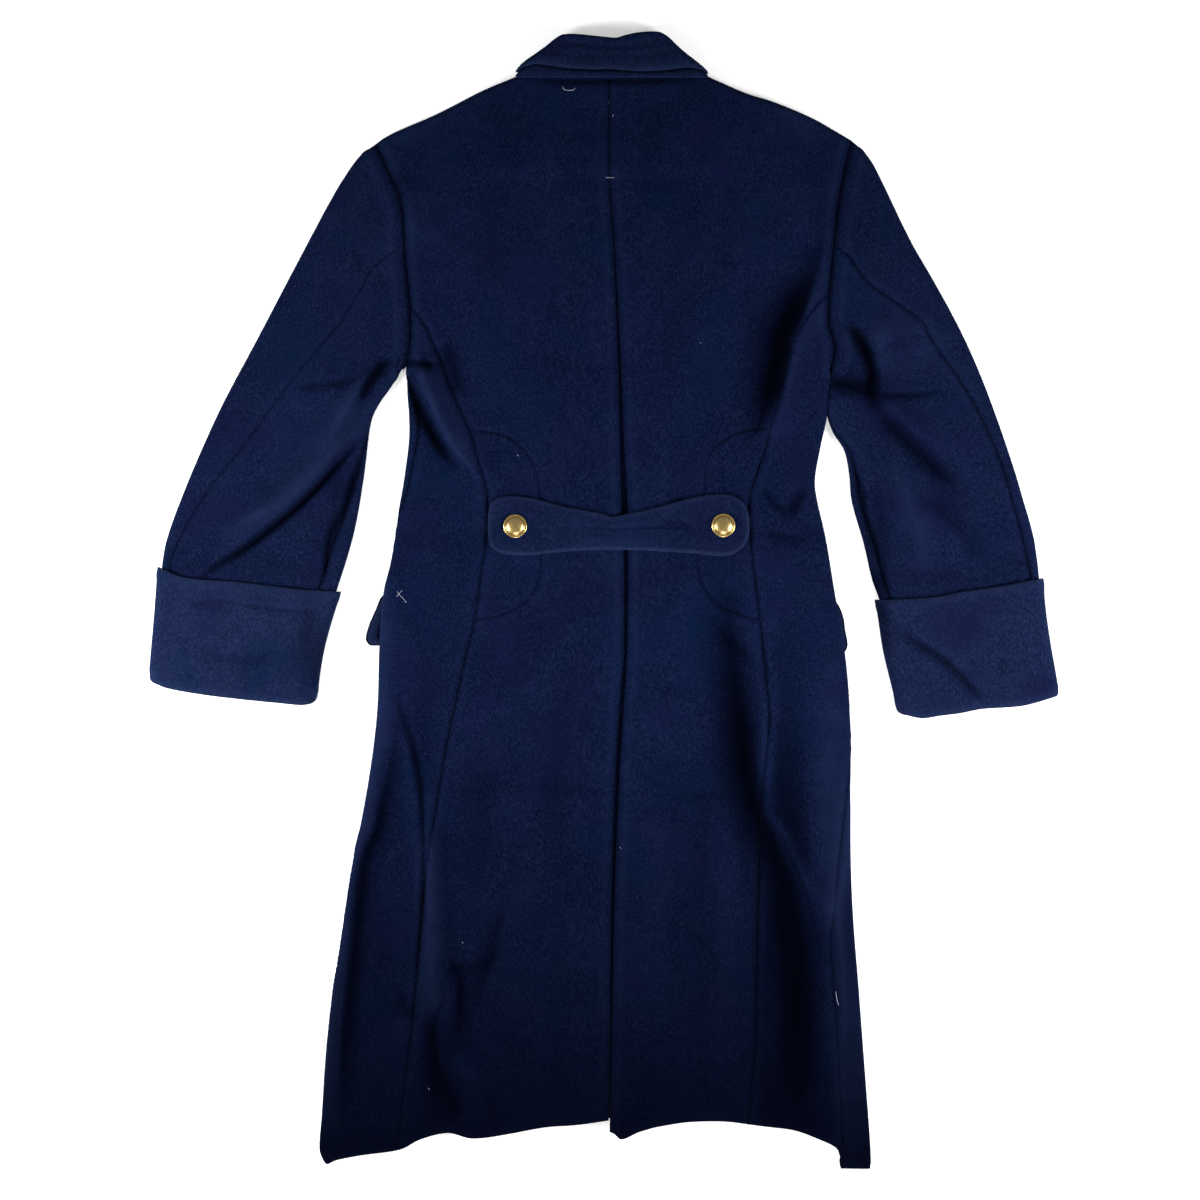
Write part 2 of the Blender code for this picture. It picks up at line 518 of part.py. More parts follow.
def half_moon(half, c, edges):
    seam = seam_stops(c)[UPPER_ROWS:UPPER_ROWS + MOON_ROWS + 1]
    arc = evenly(c["half_moon"], MOON_ROWS)
    left, right = inset(seam, -GAP), inset(arc, 2.5 * GAP)
    for end, inward in ((0, 1), (-1, -2)):
        middle = (seam[inward] + arc[inward]) / 2 - seam[end]
        left[end] = right[end] = seam[end] + middle / np.linalg.norm(middle) * 3 * GAP
    u = np.linspace(0, 1, 5)[None, :, None]
    plan = left[:, None] * (1 - u) + right[:, None] * u
    wall(f"half_moon_{half.name}", *sheet_faces(half, plan, 1, edges))


def hang_at(half, y):
    """The side seam's distance from the outermost edge, along the cloth."""
    w = from_table(half.hang, y)
    return w if abs(w) > ON_EDGE else 0.0


def skirt_stops(c):
    """Heights y of the side seam's stops below the underarm, shared by the side back and the front."""
    top = c["side"][0, 1]
    low = y_at(c["hem"], x_at(c["side"], -590) + 5)
    return np.concatenate([[top, top - 9], np.linspace(top - 24, low, SKIRT_ROWS - 1)])


NEAR = 7        # columns beside the outermost edge, close enough together to turn round it


def side_back(half, c, edges):
    arm = armhole_stops(c)[0][TOP_TO_SEAM:]
    right = inset(seam_stops(c), GAP)
    low = skirt_stops(c)
    rows = len(arm) + SKIRT_ROWS
    far = 4
    plan = np.zeros((rows, NEAR + far, 2))
    sheet = np.ones((rows, NEAR + far))
    for j in range(rows):
        above = j < len(arm)
        y_out = arm[j, 1] if above else low[j - len(arm) + 1]
        x_out = arm[j, 0] if above else x_at(c["side"], y_out)
        w_out = 0 if above else hang_at(half, y_out)
        w_in = right[j, 0] - x_out if above else along_cloth(right[j, 0] - x_at(c["side"], right[j, 1]))
        step = min(STEP, (w_in - w_out) / 10)
        near = w_out + np.cumsum([SIDE_GAP, max(step, -ARC - w_out)] + [step] * (NEAR - 2))
        w = np.concatenate([near, np.linspace(near[-1], w_in, far + 1)[1:]])
        y = y_out + (right[j, 1] - y_out) * (w - w_out) / (w_in - w_out)
        plan[j] = np.column_stack([x_out + w if above else x_at(c["side"], y) + reach(w), y])
        plan[j, -1] = right[j]
        sheet[j] = np.where(w < 0, -1, 1)
    plan[0] = moved(plan[0], plan[1], 2 * GAP)
    hem = y_at(c["hem"], plan[-1, :, 0])
    plan[-1, :, 1] = np.where(sheet[-1] > 0, hem, hem + 2)
    wall(f"side_back_{half.name}", *sheet_faces(half, plan, sheet, edges))


FRONT_NECK = points((-64, 519), (-3, 497))      # and on to the half's own neck point
FRONT_EDGE = points((-3, 497), (-3, 432), (6, 418), (45, 398), (LAP, 375), (LAP, 0), (LAP, -620))
FRONT_HEM = -548.0                      # where the fronts end past centre front, hidden by the backs
HEM_CLEAR = 5.0                         # how much shorter the fronts are than the backs that lie on them
LAP_STEP = (-LAP - 30, -LAP - 4)        # between these x the overlapping front comes up on to the other


def front(half, c, edges):
    arm = armhole_stops(c)[1]
    low = skirt_stops(c)
    rows = len(arm) + SKIRT_ROWS
    edge = smooth(FRONT_EDGE)
    shoulder = c["shoulder"][::-1]
    plan = np.zeros((rows, NEAR + 4, 2))
    sheet = -np.ones((rows, NEAR + 4))
    y_in = np.interp(np.arange(rows), [0, len(arm) - 1, rows - 1], [edge[0, 1], 190, low[-1] + 26])
    for j in range(rows):
        above = j < len(arm)
        y_out = arm[j, 1] if above else low[j - len(arm) + 1]
        x_out = arm[j, 0] if above else x_at(c["side"], y_out)
        w_out = 0 if above else hang_at(half, y_out)
        near = w_out - np.cumsum([SIDE_GAP, max(STEP, w_out - ARC)] + [STEP] * (NEAR - 2))
        x_near = x_out - near if above else x_at(c["side"], y_out) + reach(near)
        x_far = [(x_near[-1] + LAP_STEP[0]) / 2, *LAP_STEP, x_at(edge, y_in[j])]
        x = np.concatenate([x_near, x_far])
        y = y_out + (y_in[j] - y_out) * np.maximum(x - x_near[-1], 0) / (x[-1] - x_near[-1])
        plan[j] = np.column_stack([x, y])
        sheet[j, :NEAR] = np.where(near > 0, 1, -1)
    stops = np.concatenate([[GAP], 2 + STEP * np.arange(NEAR - 1), [lengths(shoulder)[-1] / 2]])
    top = np.vstack([at_length(shoulder, stops), shoulder[-1:], FRONT_NECK])
    fade = np.linspace(1, 0, len(arm))[:, None, None] ** 1.5
    plan[:len(arm)] += fade * (top - plan[0])[None]
    hem = np.where(plan[-1, :, 0] < 0, y_at(c["hem"], plan[-1, :, 0]), FRONT_HEM)
    shift = hem + np.where(sheet[-1] > 0, 0, HEM_CLEAR) - plan[-1, :, 1]
    below = np.clip((np.arange(rows) - len(arm) + 1) / SKIRT_ROWS, 0, 1) ** 2
    plan[..., 1] += below[:, None] * shift * np.clip(np.arange(NEAR + 4) / 3, 0, 1)
    faces = sheet_faces(half, plan, sheet, edges)
    if half.sign < 0:
        for grid in faces:
            grid[..., 2] += ramp(plan[..., 0], *LAP_STEP) * ramp(-plan[..., 1], -480, -450) * LAP_LIFT
    wall(f"front_{half.name}", *faces)


def moved(line, towards, gap):
    """A boundary line moved by gap towards its neighbour."""
    d = towards - line
    size = np.linalg.norm(d, axis=-1, keepdims=True)
    return line + d / np.maximum(size, 1e-6) * np.minimum(gap, size * 0.45)


# ---------------------------------------------------------------- sleeves

class Sleeve:
    """A sleeve's own frame: v runs down from the shoulder, t runs across towards the body."""

    def __init__(self, half, c):
        self.half = half
        self.c = c
        self.origin = c["axis"][0]
        down = c["axis"][1] - c["axis"][0]
        self.down = down / np.linalg.norm(down)
        self.across = np.array([-self.down[1], self.down[0]])
        self.outer, self.inner, self.elbow = [self.into(c[name]) for name in ("outer", "inner", "elbow")]

    def into(self, plan):
        d = plan - self.origin
        return np.stack([d @ self.down, d @ self.across], axis=-1)

    def plan(self, v, t):
        return self.origin + np.multiply.outer(v, self.down) + np.multiply.outer(t, self.across)

    def t_outer(self, v):
        return np.interp(v, self.outer[:, 0], self.outer[:, 1])

    def t_inner(self, v):
        return np.interp(v, self.inner[:, 0], self.inner[:, 1])

    def elbow_w(self, v):
        """The elbow seam's distance along the cloth from the outer edge."""
        v = np.maximum(v, self.elbow[0, 0])
        return along_cloth(np.interp(v, self.elbow[:, 0], self.elbow[:, 1]) - self.t_outer(v))

    def forearm_w(self, v):
        """The forearm seam's distance along the cloth from the inner edge."""
        w = from_table(self.half.forearm, self.plan(v, self.t_inner(v))[..., 1])
        return np.where(w < ON_EDGE, 0.0, w)

    def v_on(self, name, t):
        line = self.into(self.c[name])
        order = np.argsort(line[:, 1])
        return np.interp(t, line[order, 1], line[order, 0])

    def end(self, t):
        return self.v_on("cuff_end", t) - 2.0

    def cover(self, plan):
        """1 inside the cuff, 0 above it."""
        at = self.into(plan)
        top = self.v_on("cuff_top", at[..., 1])
        return ramp(at[..., 0], top - 36, top - 3)


ARM_ROWS = 5        # of the under sleeve's rows, how many end on the armhole
SLEEVE_GAP = 0.3    # each side's share of the gap at the forearm seam, measured along the cloth
CUFF_ROW = 13       # the row at the cuff's top edge


def upper_sleeve(half, c, edges):
    """From the elbow seam over the outer edge, across the underside and round the inner edge."""
    s = Sleeve(half, c)
    arm_top, arm_under = armhole_stops(c)
    starts = [("over", k, arm_top[TOP_TO_ELBOW - k]) for k in range(5)]
    starts += [("edge", k, arm_top[3 - k] if k < 4 else arm_under[k - 3]) for k in range(1, 7)]
    starts += [("under", k, arm_under[3 + k]) for k in (1, 2)]
    starts += [("inner", m, arm_under[min(10, 13 - m)]) for m in range(7, -1, -1)]
    plan = np.zeros((SLEEVE_ROWS + 1, len(starts), 2))
    sheet = -np.ones((SLEEVE_ROWS + 1, len(starts)))
    first = s.into(starts[0][2])
    w_first = along_cloth(first[1] - s.t_outer(first[0]))
    for column, (kind, k, start) in enumerate(starts):
        v_start, t_start = s.into(start)
        v, t = 490.0, s.t_outer(490.0)
        for j in [SLEEVE_ROWS, CUFF_ROW] + list(range(SLEEVE_ROWS)):
            even = min(1.0, j / CUFF_ROW)
            late = min(1.0, max(0.0, (j - ARM_ROWS) / (CUFF_ROW - ARM_ROWS)))
            tau = {"over": even, "edge": even, "inner": late}.get(kind, even + (late - even) * k / 3)
            for _ in range(6):
                if j == SLEEVE_ROWS:
                    v = v_end = s.end(t)
                elif j == CUFF_ROW:
                    v = v_cuff = s.v_on("cuff_top", t) - 1.5
                elif j > CUFF_ROW:
                    v = v_cuff + (v_end - v_cuff) * (j - CUFF_ROW) / (SLEEVE_ROWS - CUFF_ROW)
                else:
                    v = v_start + (v_cuff - v_start) * tau
                if kind in ("over", "edge"):
                    seam = s.elbow_w(v)
                    limit = min(ARC, seam - 2.5)
                    if kind == "over":
                        w_start = along_cloth(t_start - s.t_outer(v_start))
                        share = (w_start - ARC) / (w_first - ARC) * (1 - tau) + (1 - k / 4) * tau
                        w = limit + (seam - limit) * share
                    else:
                        w = limit - k * (limit + ARC) / 6
                    t = s.t_outer(v) + reach(w)
                elif kind == "under":
                    w = -1
                    low, high = s.t_outer(v) + ROLL, s.t_inner(v) - 22
                    t = t_start + (low + (high - low) * k / 3 - t_start) * tau
                else:
                    seam = s.forearm_w(v)
                    w = seam - (SLEEVE_GAP if k == 0 else max(STEP, seam - ARC) + (k - 1) * STEP)
                    t = s.t_inner(v) - reach(w)
            at_start = v <= v_start + 1e-6
            plan[j, column] = start if at_start else s.plan(v, t)
            sheet[j, column] = 1 if w >= 0 and not (kind == "inner" and at_start) else -1
    plan[:, 0] = moved(plan[:, 0], plan[:, 1], GAP)
    notch = slice(-8, None)
    target = plan[1:4].mean(0)
    target[notch] = plan[ARM_ROWS + 1, notch]
    plan[0] = moved(plan[0], target, 4 * GAP)
    plan[1:ARM_ROWS + 1, notch] = plan[0, notch]
    wall(f"upper_sleeve_{half.name}", *sheet_faces(half, plan, sheet, edges, s.cover(plan)))


def under_sleeve(half, c, edges):
    """The visible panel between the elbow seam, the armhole and the forearm seam."""
    s = Sleeve(half, c)
    arm = s.into(armhole_stops(c)[0][TOP_TO_ELBOW:])
    far, near = 4, 3
    plan = np.zeros((SLEEVE_ROWS + 1, far + near + 1, 2))
    ends = {}
    for name in ("cuff_top", "cuff_end"):
        v_left = v_right = 490.0
        for _ in range(6):
            v_left = s.v_on(name, s.t_outer(v_left) + reach(s.elbow_w(v_left)))
            v_right = s.v_on(name, s.t_inner(v_right) - reach(s.forearm_w(v_right)))
        clear = 1.5 if name == "cuff_top" else 2.0
        t = np.linspace(s.t_outer(v_left) + reach(s.elbow_w(v_left)),
                        s.t_inner(v_right) - reach(s.forearm_w(v_right)), 20)
        line = s.v_on(name, t) - clear
        u = (t - t[0]) / (t[-1] - t[0])
        ends[name] = line[0], line[-1], u, line - (line[0] + (line[-1] - line[0]) * u)
    above_cuff, at_end = ends["cuff_top"], ends["cuff_end"]
    for j in range(SLEEVE_ROWS + 1):
        low = max(0.0, (j - CUFF_ROW) / (SLEEVE_ROWS - CUFF_ROW))
        even = min(1.0, j / CUFF_ROW)
        late = min(1.0, max(0.0, (j - ARM_ROWS) / (CUFF_ROW - ARM_ROWS)))
        v_left = arm[0, 0] + (above_cuff[0] - arm[0, 0]) * even + (at_end[0] - above_cuff[0]) * low
        t_left = s.t_outer(v_left) + reach(s.elbow_w(v_left))
        if j <= ARM_ROWS:
            v_right, t_right = arm[j]
            t_near = t_right - STEP * np.arange(near + 1) * min(1, (t_right - t_left) / 20)
        else:
            v_right = arm[-1, 0] + (above_cuff[1] - arm[-1, 0]) * late + (at_end[1] - above_cuff[1]) * low
            w = s.forearm_w(v_right) + SLEEVE_GAP + STEP * np.arange(near + 1)
            t_near = s.t_inner(v_right) - reach(w)
        t = np.concatenate([np.linspace(t_left, t_near[-1], far + 1)[:-1], t_near[::-1]])
        u = (t - t_left) / max(t[-1] - t_left, 1e-6)
        v = v_left + (v_right - v_left) * u
        if j == 0:
            v, t = np.full(t.shape, arm[0, 0]), np.full(t.shape, arm[0, 1])
        else:
            v += even**2 * (1 - low) * np.interp(u, *above_cuff[2:]) + low * np.interp(u, *at_end[2:])
        plan[j] = s.plan(v, t)
    plan[1:, 0] = moved(plan[1:, 0], plan[1:, 1], GAP)
    plan[1:ARM_ROWS + 1, -1] = moved(plan[1:ARM_ROWS + 1, -1], plan[1:ARM_ROWS + 1, -2], GAP)
    plan[0] = plan[0] + (plan[1].mean(0) - plan[0]) * 0.02
    wall(f"under_sleeve_{half.name}", *sheet_faces(half, plan, 1, edges, s.cover(plan)))


CUFF_ROWS = 5


def cuff(half, c, edges):
    s = Sleeve(half, c)
    turn = np.linspace(ARC, -ARC, 7)
    columns = [("outer", w, 1 if w >= 0 else -1) for w in turn]
    columns += [("flat", f, -1) for f in (0.2, 0.4, 0.6, 0.8)]
    columns += [("inner", w, 1 if w >= 0 else -1) for w in turn[::-1]]
    columns += [("flat", f, 1) for f in (0.8, 0.6, 0.4, 0.2)]
    plan = np.zeros((CUFF_ROWS + 1, len(columns), 2))
    sheet = np.zeros((CUFF_ROWS + 1, len(columns)))
    for k, (kind, value, side) in enumerate(columns):
        for j in range(CUFF_ROWS + 1):
            v = 440.0
            for _ in range(5):
                low, high = s.t_outer(v), s.t_inner(v)
                if kind == "outer":
                    t = low + reach(value)
                elif kind == "inner":
                    t = high - reach(value)
                else:
                    t = low + ROLL + (high - low - 2 * ROLL) * value
                v_top = s.v_on("cuff_top", t)
                v = v_top + (s.v_on("cuff_end", t) - v_top) * j / CUFF_ROWS
            plan[j, k] = s.plan(v, t)
            sheet[j, k] = side
    faces = sheet_faces(half, plan, sheet, edges, 1.0, CUFF_LIFT + CUFF_WALL, CUFF_WALL)
    wall(f"cuff_{half.name}", *faces, ring=True)


# ---------------------------------------------------------------- collar

FALL_FRONT = points((0, 569), (0.35, 545), (0.7, 505), (1, 472))       # share of the way to centre front, y
FOLD_FRONT = points((0, 603), (0.4, 575), (0.7, 548), (1, 532))
NECK_BACK = 562.6
COLLAR_ROWS = 3
FOLD_CLEAR = 7.0         # between the stand's top edge and the turn of the fall


def collar_columns():
    """Columns of the collar's band, from centre front underneath, over the back, and round to centre front."""
    turn = np.linspace(-COLLAR_ARC, COLLAR_ARC, 9)
    columns = [("under_left", f) for f in (1, 0.66, 0.33)]
    columns += [("left", w) for w in turn]
    columns += [("top", f) for f in (0.1, 0.25, 0.42, 0.58, 0.75, 0.9)]
    columns += [("right", w) for w in turn[::-1]]
    columns += [("under_right", f) for f in (0.33, 0.66, 1)]
    return columns


def collar_x(kind, value, y, left, right):
    a, b = x_at(left, y), x_at(right, y)
    if kind == "left":
        return a + reach(value, COLLAR_ROLL, COLLAR_ARC)
    if kind == "right":
        return b - reach(value, COLLAR_ROLL, COLLAR_ARC)
    if kind == "top":
        return a + COLLAR_ROLL + (b - a - 2 * COLLAR_ROLL) * value
    if kind == "under_left":
        return a + COLLAR_ROLL + (-2 - a - COLLAR_ROLL) * value
    return b - COLLAR_ROLL - (b - COLLAR_ROLL - 2) * value


def collar_lines(kind, value, left, right, fold, edge):
    """The heights y of the fold line, the fall's lower edge and the neck seam on one column."""
    if kind.startswith("under"):
        corner = (LEFT if kind.endswith("left") else RIGHT).shoulder[0]
        neck = np.array([(-abs(corner.x), corner.y)] + FRONT_NECK)
        x = -abs(collar_x(kind, value, 520, left, right))
        return (y_at(smooth(FOLD_FRONT, 0.05), value), y_at(smooth(FALL_FRONT, 0.05), value),
                y_at(neck, x) + 1.2)
    y_fold, y_edge = 600.0, 569.0
    for _ in range(8):
        y_fold = y_at(fold, collar_x(kind, value, y_fold, left, right))
        y_edge = y_at(edge, collar_x(kind, value, y_edge, left, right))
    return y_fold, y_edge, NECK_BACK + (0 if kind == "top" else 1.8)


def collar():
    left, right, fold, edge = [smooth(t) for t in (COLLAR_LEFT, COLLAR_RIGHT, FOLD_LINE, FALL_EDGE)]
    edges = Edges(COLLAR_ROLL, (left, -1), (right, 1))
    columns = collar_columns()
    bend = np.linspace(0, pi, 5)
    inside = FOLD_RADIUS - WALL
    rows = COLLAR_ROWS + len(bend)
    outer_y, inner_y = np.zeros((rows, len(columns))), np.zeros((rows, len(columns)))
    outer_depth, inner_depth = np.zeros((rows, 1)), np.full((rows, 1), WALL)
    outer_depth[COLLAR_ROWS:, 0] = FOLD_RADIUS * (1 - np.cos(bend))
    inner_depth[COLLAR_ROWS:, 0] = FOLD_RADIUS - inside * np.cos(bend)
    stand_y = np.zeros((3, len(columns)))
    sheet = np.zeros((1, len(columns)))
    for k, (kind, value) in enumerate(columns):
        y_fold, y_edge, y_neck = collar_lines(kind, value, left, right, fold, edge)
        centre = y_fold - FOLD_RADIUS
        outer_y[:, k] = inner_y[:, k] = np.concatenate([np.linspace(y_edge, centre, COLLAR_ROWS + 1), [centre] * 4])
        outer_y[COLLAR_ROWS:, k] += FOLD_RADIUS * np.sin(bend)
        inner_y[COLLAR_ROWS:, k] += inside * np.sin(bend)
        stand_y[:, k] = np.linspace(centre - FOLD_CLEAR, y_neck, 3)
        under = kind.startswith("under") or (kind in ("left", "right") and value < -1e-6)
        sheet[0, k] = -1 if under else 1

    def band(y, depth):
        x = np.array([[collar_x(kind, value, y[j, k], left, right) for k, (kind, value) in enumerate(columns)]
                      for j in range(len(y))])
        return face(np.stack([x, y], axis=-1), sheet, COLLAR_HEIGHT, 0.0, edges, depth)

    wall("collar_fall", band(outer_y, outer_depth), band(inner_y, inner_depth))
    wall("collar_stand", band(stand_y, 2 * FOLD_RADIUS - WALL), band(stand_y, 2 * FOLD_RADIUS))


# ---------------------------------------------------------------- what lies on the panels or under them

class Surface:
    """The faces of some pieces, to find how high they lie at a place."""

    def __init__(self, *names):
        vertices, faces = [], []
        for name in names:
            mesh = bpy.data.objects[name].data
            start = len(vertices)
            vertices += [v.co.copy() for v in mesh.vertices]
            faces += [[start + i for i in p.vertices] for p in mesh.polygons]
        self.tree = BVHTree.FromPolygons(vertices, faces)

    def top(self, x, y, around):
        """The highest point near x and y, seen from above."""
        found = []
        for dx in (-around, 0, around):
            for dy in (-around, 0, around):
                hit = self.tree.ray_cast(Vector(((x + dx) * MM, (y + dy) * MM, 0.1)), Vector((0, 0, -1)))[0]
                if hit:
                    found.append(hit.z / MM)
        return max(found)

    def underside(self, x, y, around):
        """The lowest point near x and y, seen from below."""
        found = []
        for dx in (-around, 0, around):
            for dy in (-around, 0, around):
                hit = self.tree.ray_cast(Vector(((x + dx) * MM, (y + dy) * MM, 0.008)), Vector((0, 0, 1)))[0]
                if hit:
                    found.append(hit.z / MM)
        return min(found)


def belt_columns():
    """The belt's own stations, and more between those that lie far apart."""
    made = [BELT[0].x]
    for cut in BELT[1:]:
        count = max(1, round((cut.x - made[-1]) / BELT_STEP))
        made += list(np.linspace(made[-1], cut.x, count + 1)[1:])
    return made


def half_belt():
    carrier = Surface(*[f"{piece}_{half.name}" for piece in ("back", "half_moon", "side_back") for half in HALVES])
    rows = []
    for x in belt_columns():
        low, high = [np.interp(x, [cut.x for cut in BELT], [getattr(cut, side) for cut in BELT])
                     for side in ("low", "high")]
        rows.append([(x, y, carrier.top(x, y, BELT_REACH) + BELT_CLEAR) for y in np.linspace(low, high, 5)])
    under = np.array(rows)
    return wall("half_belt", under + [0, 0, BELT_WALL], under)


def button(half, belt):
    """A domed button with a rim, turned about its own axis."""
    at = BUTTONS[half.name]
    radius, foot, height = BUTTON_DOME
    dome = [(radius * np.sin(a), foot + height * np.cos(a)) for a in np.linspace(0.25, 1.35, 5)]
    profile = [(0, foot + height)] + dome + BUTTON_RIM + [(0, 0)]
    mesh = bpy.data.meshes.new(f"belt_button_{half.name}")
    bm = bmesh.new()
    line = [bm.verts.new((r * MM, 0, z * MM)) for r, z in profile]
    for a, b in zip(line, line[1:]):
        bm.edges.new((a, b))
    bm.to_mesh(mesh)
    bm.free()
    piece = add(mesh.name, mesh, "brass")
    base = belt.top(at.x, at.y, BELT_REACH) + BUTTON_CLEAR
    piece.location = Vector((at.x, at.y, base)) * MM
    screw = piece.modifiers.new("turn", "SCREW")
    screw.steps = screw.render_steps = 20
    screw.use_merge_vertices = True
    screw.merge_threshold = 0.00002


UNDERLAY = (-33, 57)            # the pleat's underlay, from x to x
UNDERLAY_SPAN = (425, -548)     # and from y to y
UNDERLAY_CLEAR = 0.5            # between it and the backs


def pleat_underlay():
    carrier = Surface("back_left", "back_right")
    rows = []
    for y in np.linspace(*UNDERLAY_SPAN, 22):
        rows.append([(x, y, carrier.underside(x, y, 6) - UNDERLAY_CLEAR) for x in np.linspace(*UNDERLAY, 5)])
    over = np.array(rows)
    wall("pleat_underlay", over, over - [0, 0, WALL])


FLAP_IN = 104.0         # the flap's plain front end, hidden under the coat
FLAP_OUT = {
    "left": points((-222, 14.4), (-238, 5), (-244.5, -9.1), (-251.5, -25.1), (-255.2, -41.2), (-250.9, -46.5)),
    "right": points((-236, 14.4), (-249.8, -3.7), (-255.2, -16.6), (-257.3, -30.5), (-260, -46.5), (-257.9, -53)),
}


def pocket_flap(half):
    """Lies under its front, on the floor, and comes out past the coat's edge."""
    out = evenly(smooth(FLAP_OUT[half.name]), 7)
    u = np.linspace(0, 1, 6)[None, :, None]
    level = np.column_stack([np.full(len(out), -FLAP_IN), out[:, 1]])
    plan = (out[:, None] * (1 - u) + level[:, None] * u) * [half.sign, 1]
    floor = np.concatenate([plan, np.zeros_like(plan[..., :1])], axis=-1)
    wall(f"pocket_flap_{half.name}", floor + [0, 0, WALL], floor)


def main():
    for old in list(bpy.data.objects):
        bpy.data.objects.remove(old, do_unlink=True)
    coat = bpy.data.collections.new("greatcoat")
    bpy.context.scene.collection.children.link(coat)
    material("navy wool", (0.012, 0.018, 0.05), 0.9)
    material("brass", (0.78, 0.56, 0.2), 0.3, 1.0)
    for half in HALVES:
        c = curves(half)
        upper_edge = np.vstack([c["shoulder"], c["outer"][1:]])
        body_edges = Edges(ROLL, (upper_edge, 1), (c["side"], 1))
        sleeve_edges = Edges(ROLL, (upper_edge, 1), (c["inner"], -1))
        for piece in (back, half_moon, side_back, front):
            piece(half, c, body_edges)
        for piece in (upper_sleeve, under_sleeve, cuff):
            piece(half, c, sleeve_edges)
    collar()
    half_belt()
    belt = Surface("half_belt")
    for half in HALVES:
        button(half, belt)
        pocket_flap(half)
    pleat_underlay()
    for piece in coat.objects:
        piece.location += Vector(CENTRE) * MM


main()
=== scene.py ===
"""Looks of a greatcoat that lies flat, face down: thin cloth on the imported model's forms.

Every cut piece is drawn as an outline in the flat cut, filled with fine triangles and laid where it belongs:
top sheet, bottom sheet, or rolled round an outermost edge from one to the other.  Lengths are millimetres in
the tables; each half of the coat has its own mirrored frame, where x is negative towards the sleeve.
"""

from collections import namedtuple
from math import pi

import bmesh
import bpy
import numpy as np
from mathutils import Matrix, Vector
from mathutils.geometry import delaunay_2d_cdt


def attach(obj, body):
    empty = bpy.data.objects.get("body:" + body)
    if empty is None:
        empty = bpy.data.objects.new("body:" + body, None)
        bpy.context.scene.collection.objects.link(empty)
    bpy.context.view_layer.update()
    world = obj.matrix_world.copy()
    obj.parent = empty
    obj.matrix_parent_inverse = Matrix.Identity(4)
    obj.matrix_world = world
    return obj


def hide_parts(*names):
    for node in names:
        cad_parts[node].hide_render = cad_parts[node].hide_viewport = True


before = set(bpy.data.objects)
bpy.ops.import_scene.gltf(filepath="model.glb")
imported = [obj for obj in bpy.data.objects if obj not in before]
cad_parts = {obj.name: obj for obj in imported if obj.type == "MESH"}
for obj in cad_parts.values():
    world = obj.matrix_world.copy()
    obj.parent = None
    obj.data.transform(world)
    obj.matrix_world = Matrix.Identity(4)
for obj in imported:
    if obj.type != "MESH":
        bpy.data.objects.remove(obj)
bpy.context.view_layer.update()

MM = 0.001
WALL = 3.0               # thickness of the solids' cloth
SHEETS = 9.5             # height of the two sheets, with the air between them
ROLL = 6.0               # how far in from an outermost edge its rounding reaches
ARC = 8.5                # length of the cloth over that rounding
SLACK = ARC - ROLL       # how much longer the cloth is than the plan, from an outermost edge inwards
LAYER = 3.4              # rise over one more layer
LAP = 60.0               # half width of the doubled fronts
LAP_RAMP = 32.0          # width over which the sheets come down beside them
LAP_LIFT = 4.7           # rise of the front that lies on the other one
CUFF_LIFT = 0.9          # air between sleeve and cuff
CUFF_WALL = 4.0
BELT_WALL = 4.0
BELT_LIFT = 0.4          # air below the half belt
CENTRE = (0.2, -4.3, 0.0)        # where the tables' frame lies in the world
RIM = 2.4                # how far a cut edge is turned in
SEAM_HALF = 0.25         # half the width of a seam's groove
CREASE_DEPTH = 1.35      # how far the table's creases are exaggerated in the pressed wool
CREASE_SHARP = 1.35      # the exponent of their slopes; 2 is a soft wave
DEEPEST = 1.5            # no crease of the top sheet reaches lower

Point = namedtuple("Point", "x y")
Fold = namedtuple("Fold", "rise near far path")
BeltCut = namedtuple("BeltCut", "x low high")
Half = namedtuple("Half", "name sign axis shoulder outer inner side armhole seam half_moon hem hang elbow forearm "
                          "cuff_top cuff_end")


def points(*run):
    """Points from a run of numbers: x, y, x, y and so on."""
    return [Point(*pair) for pair in zip(run[::2], run[1::2])]


def fold(rise, near, far, *path):
    return Fold(rise, near, far, points(*path))


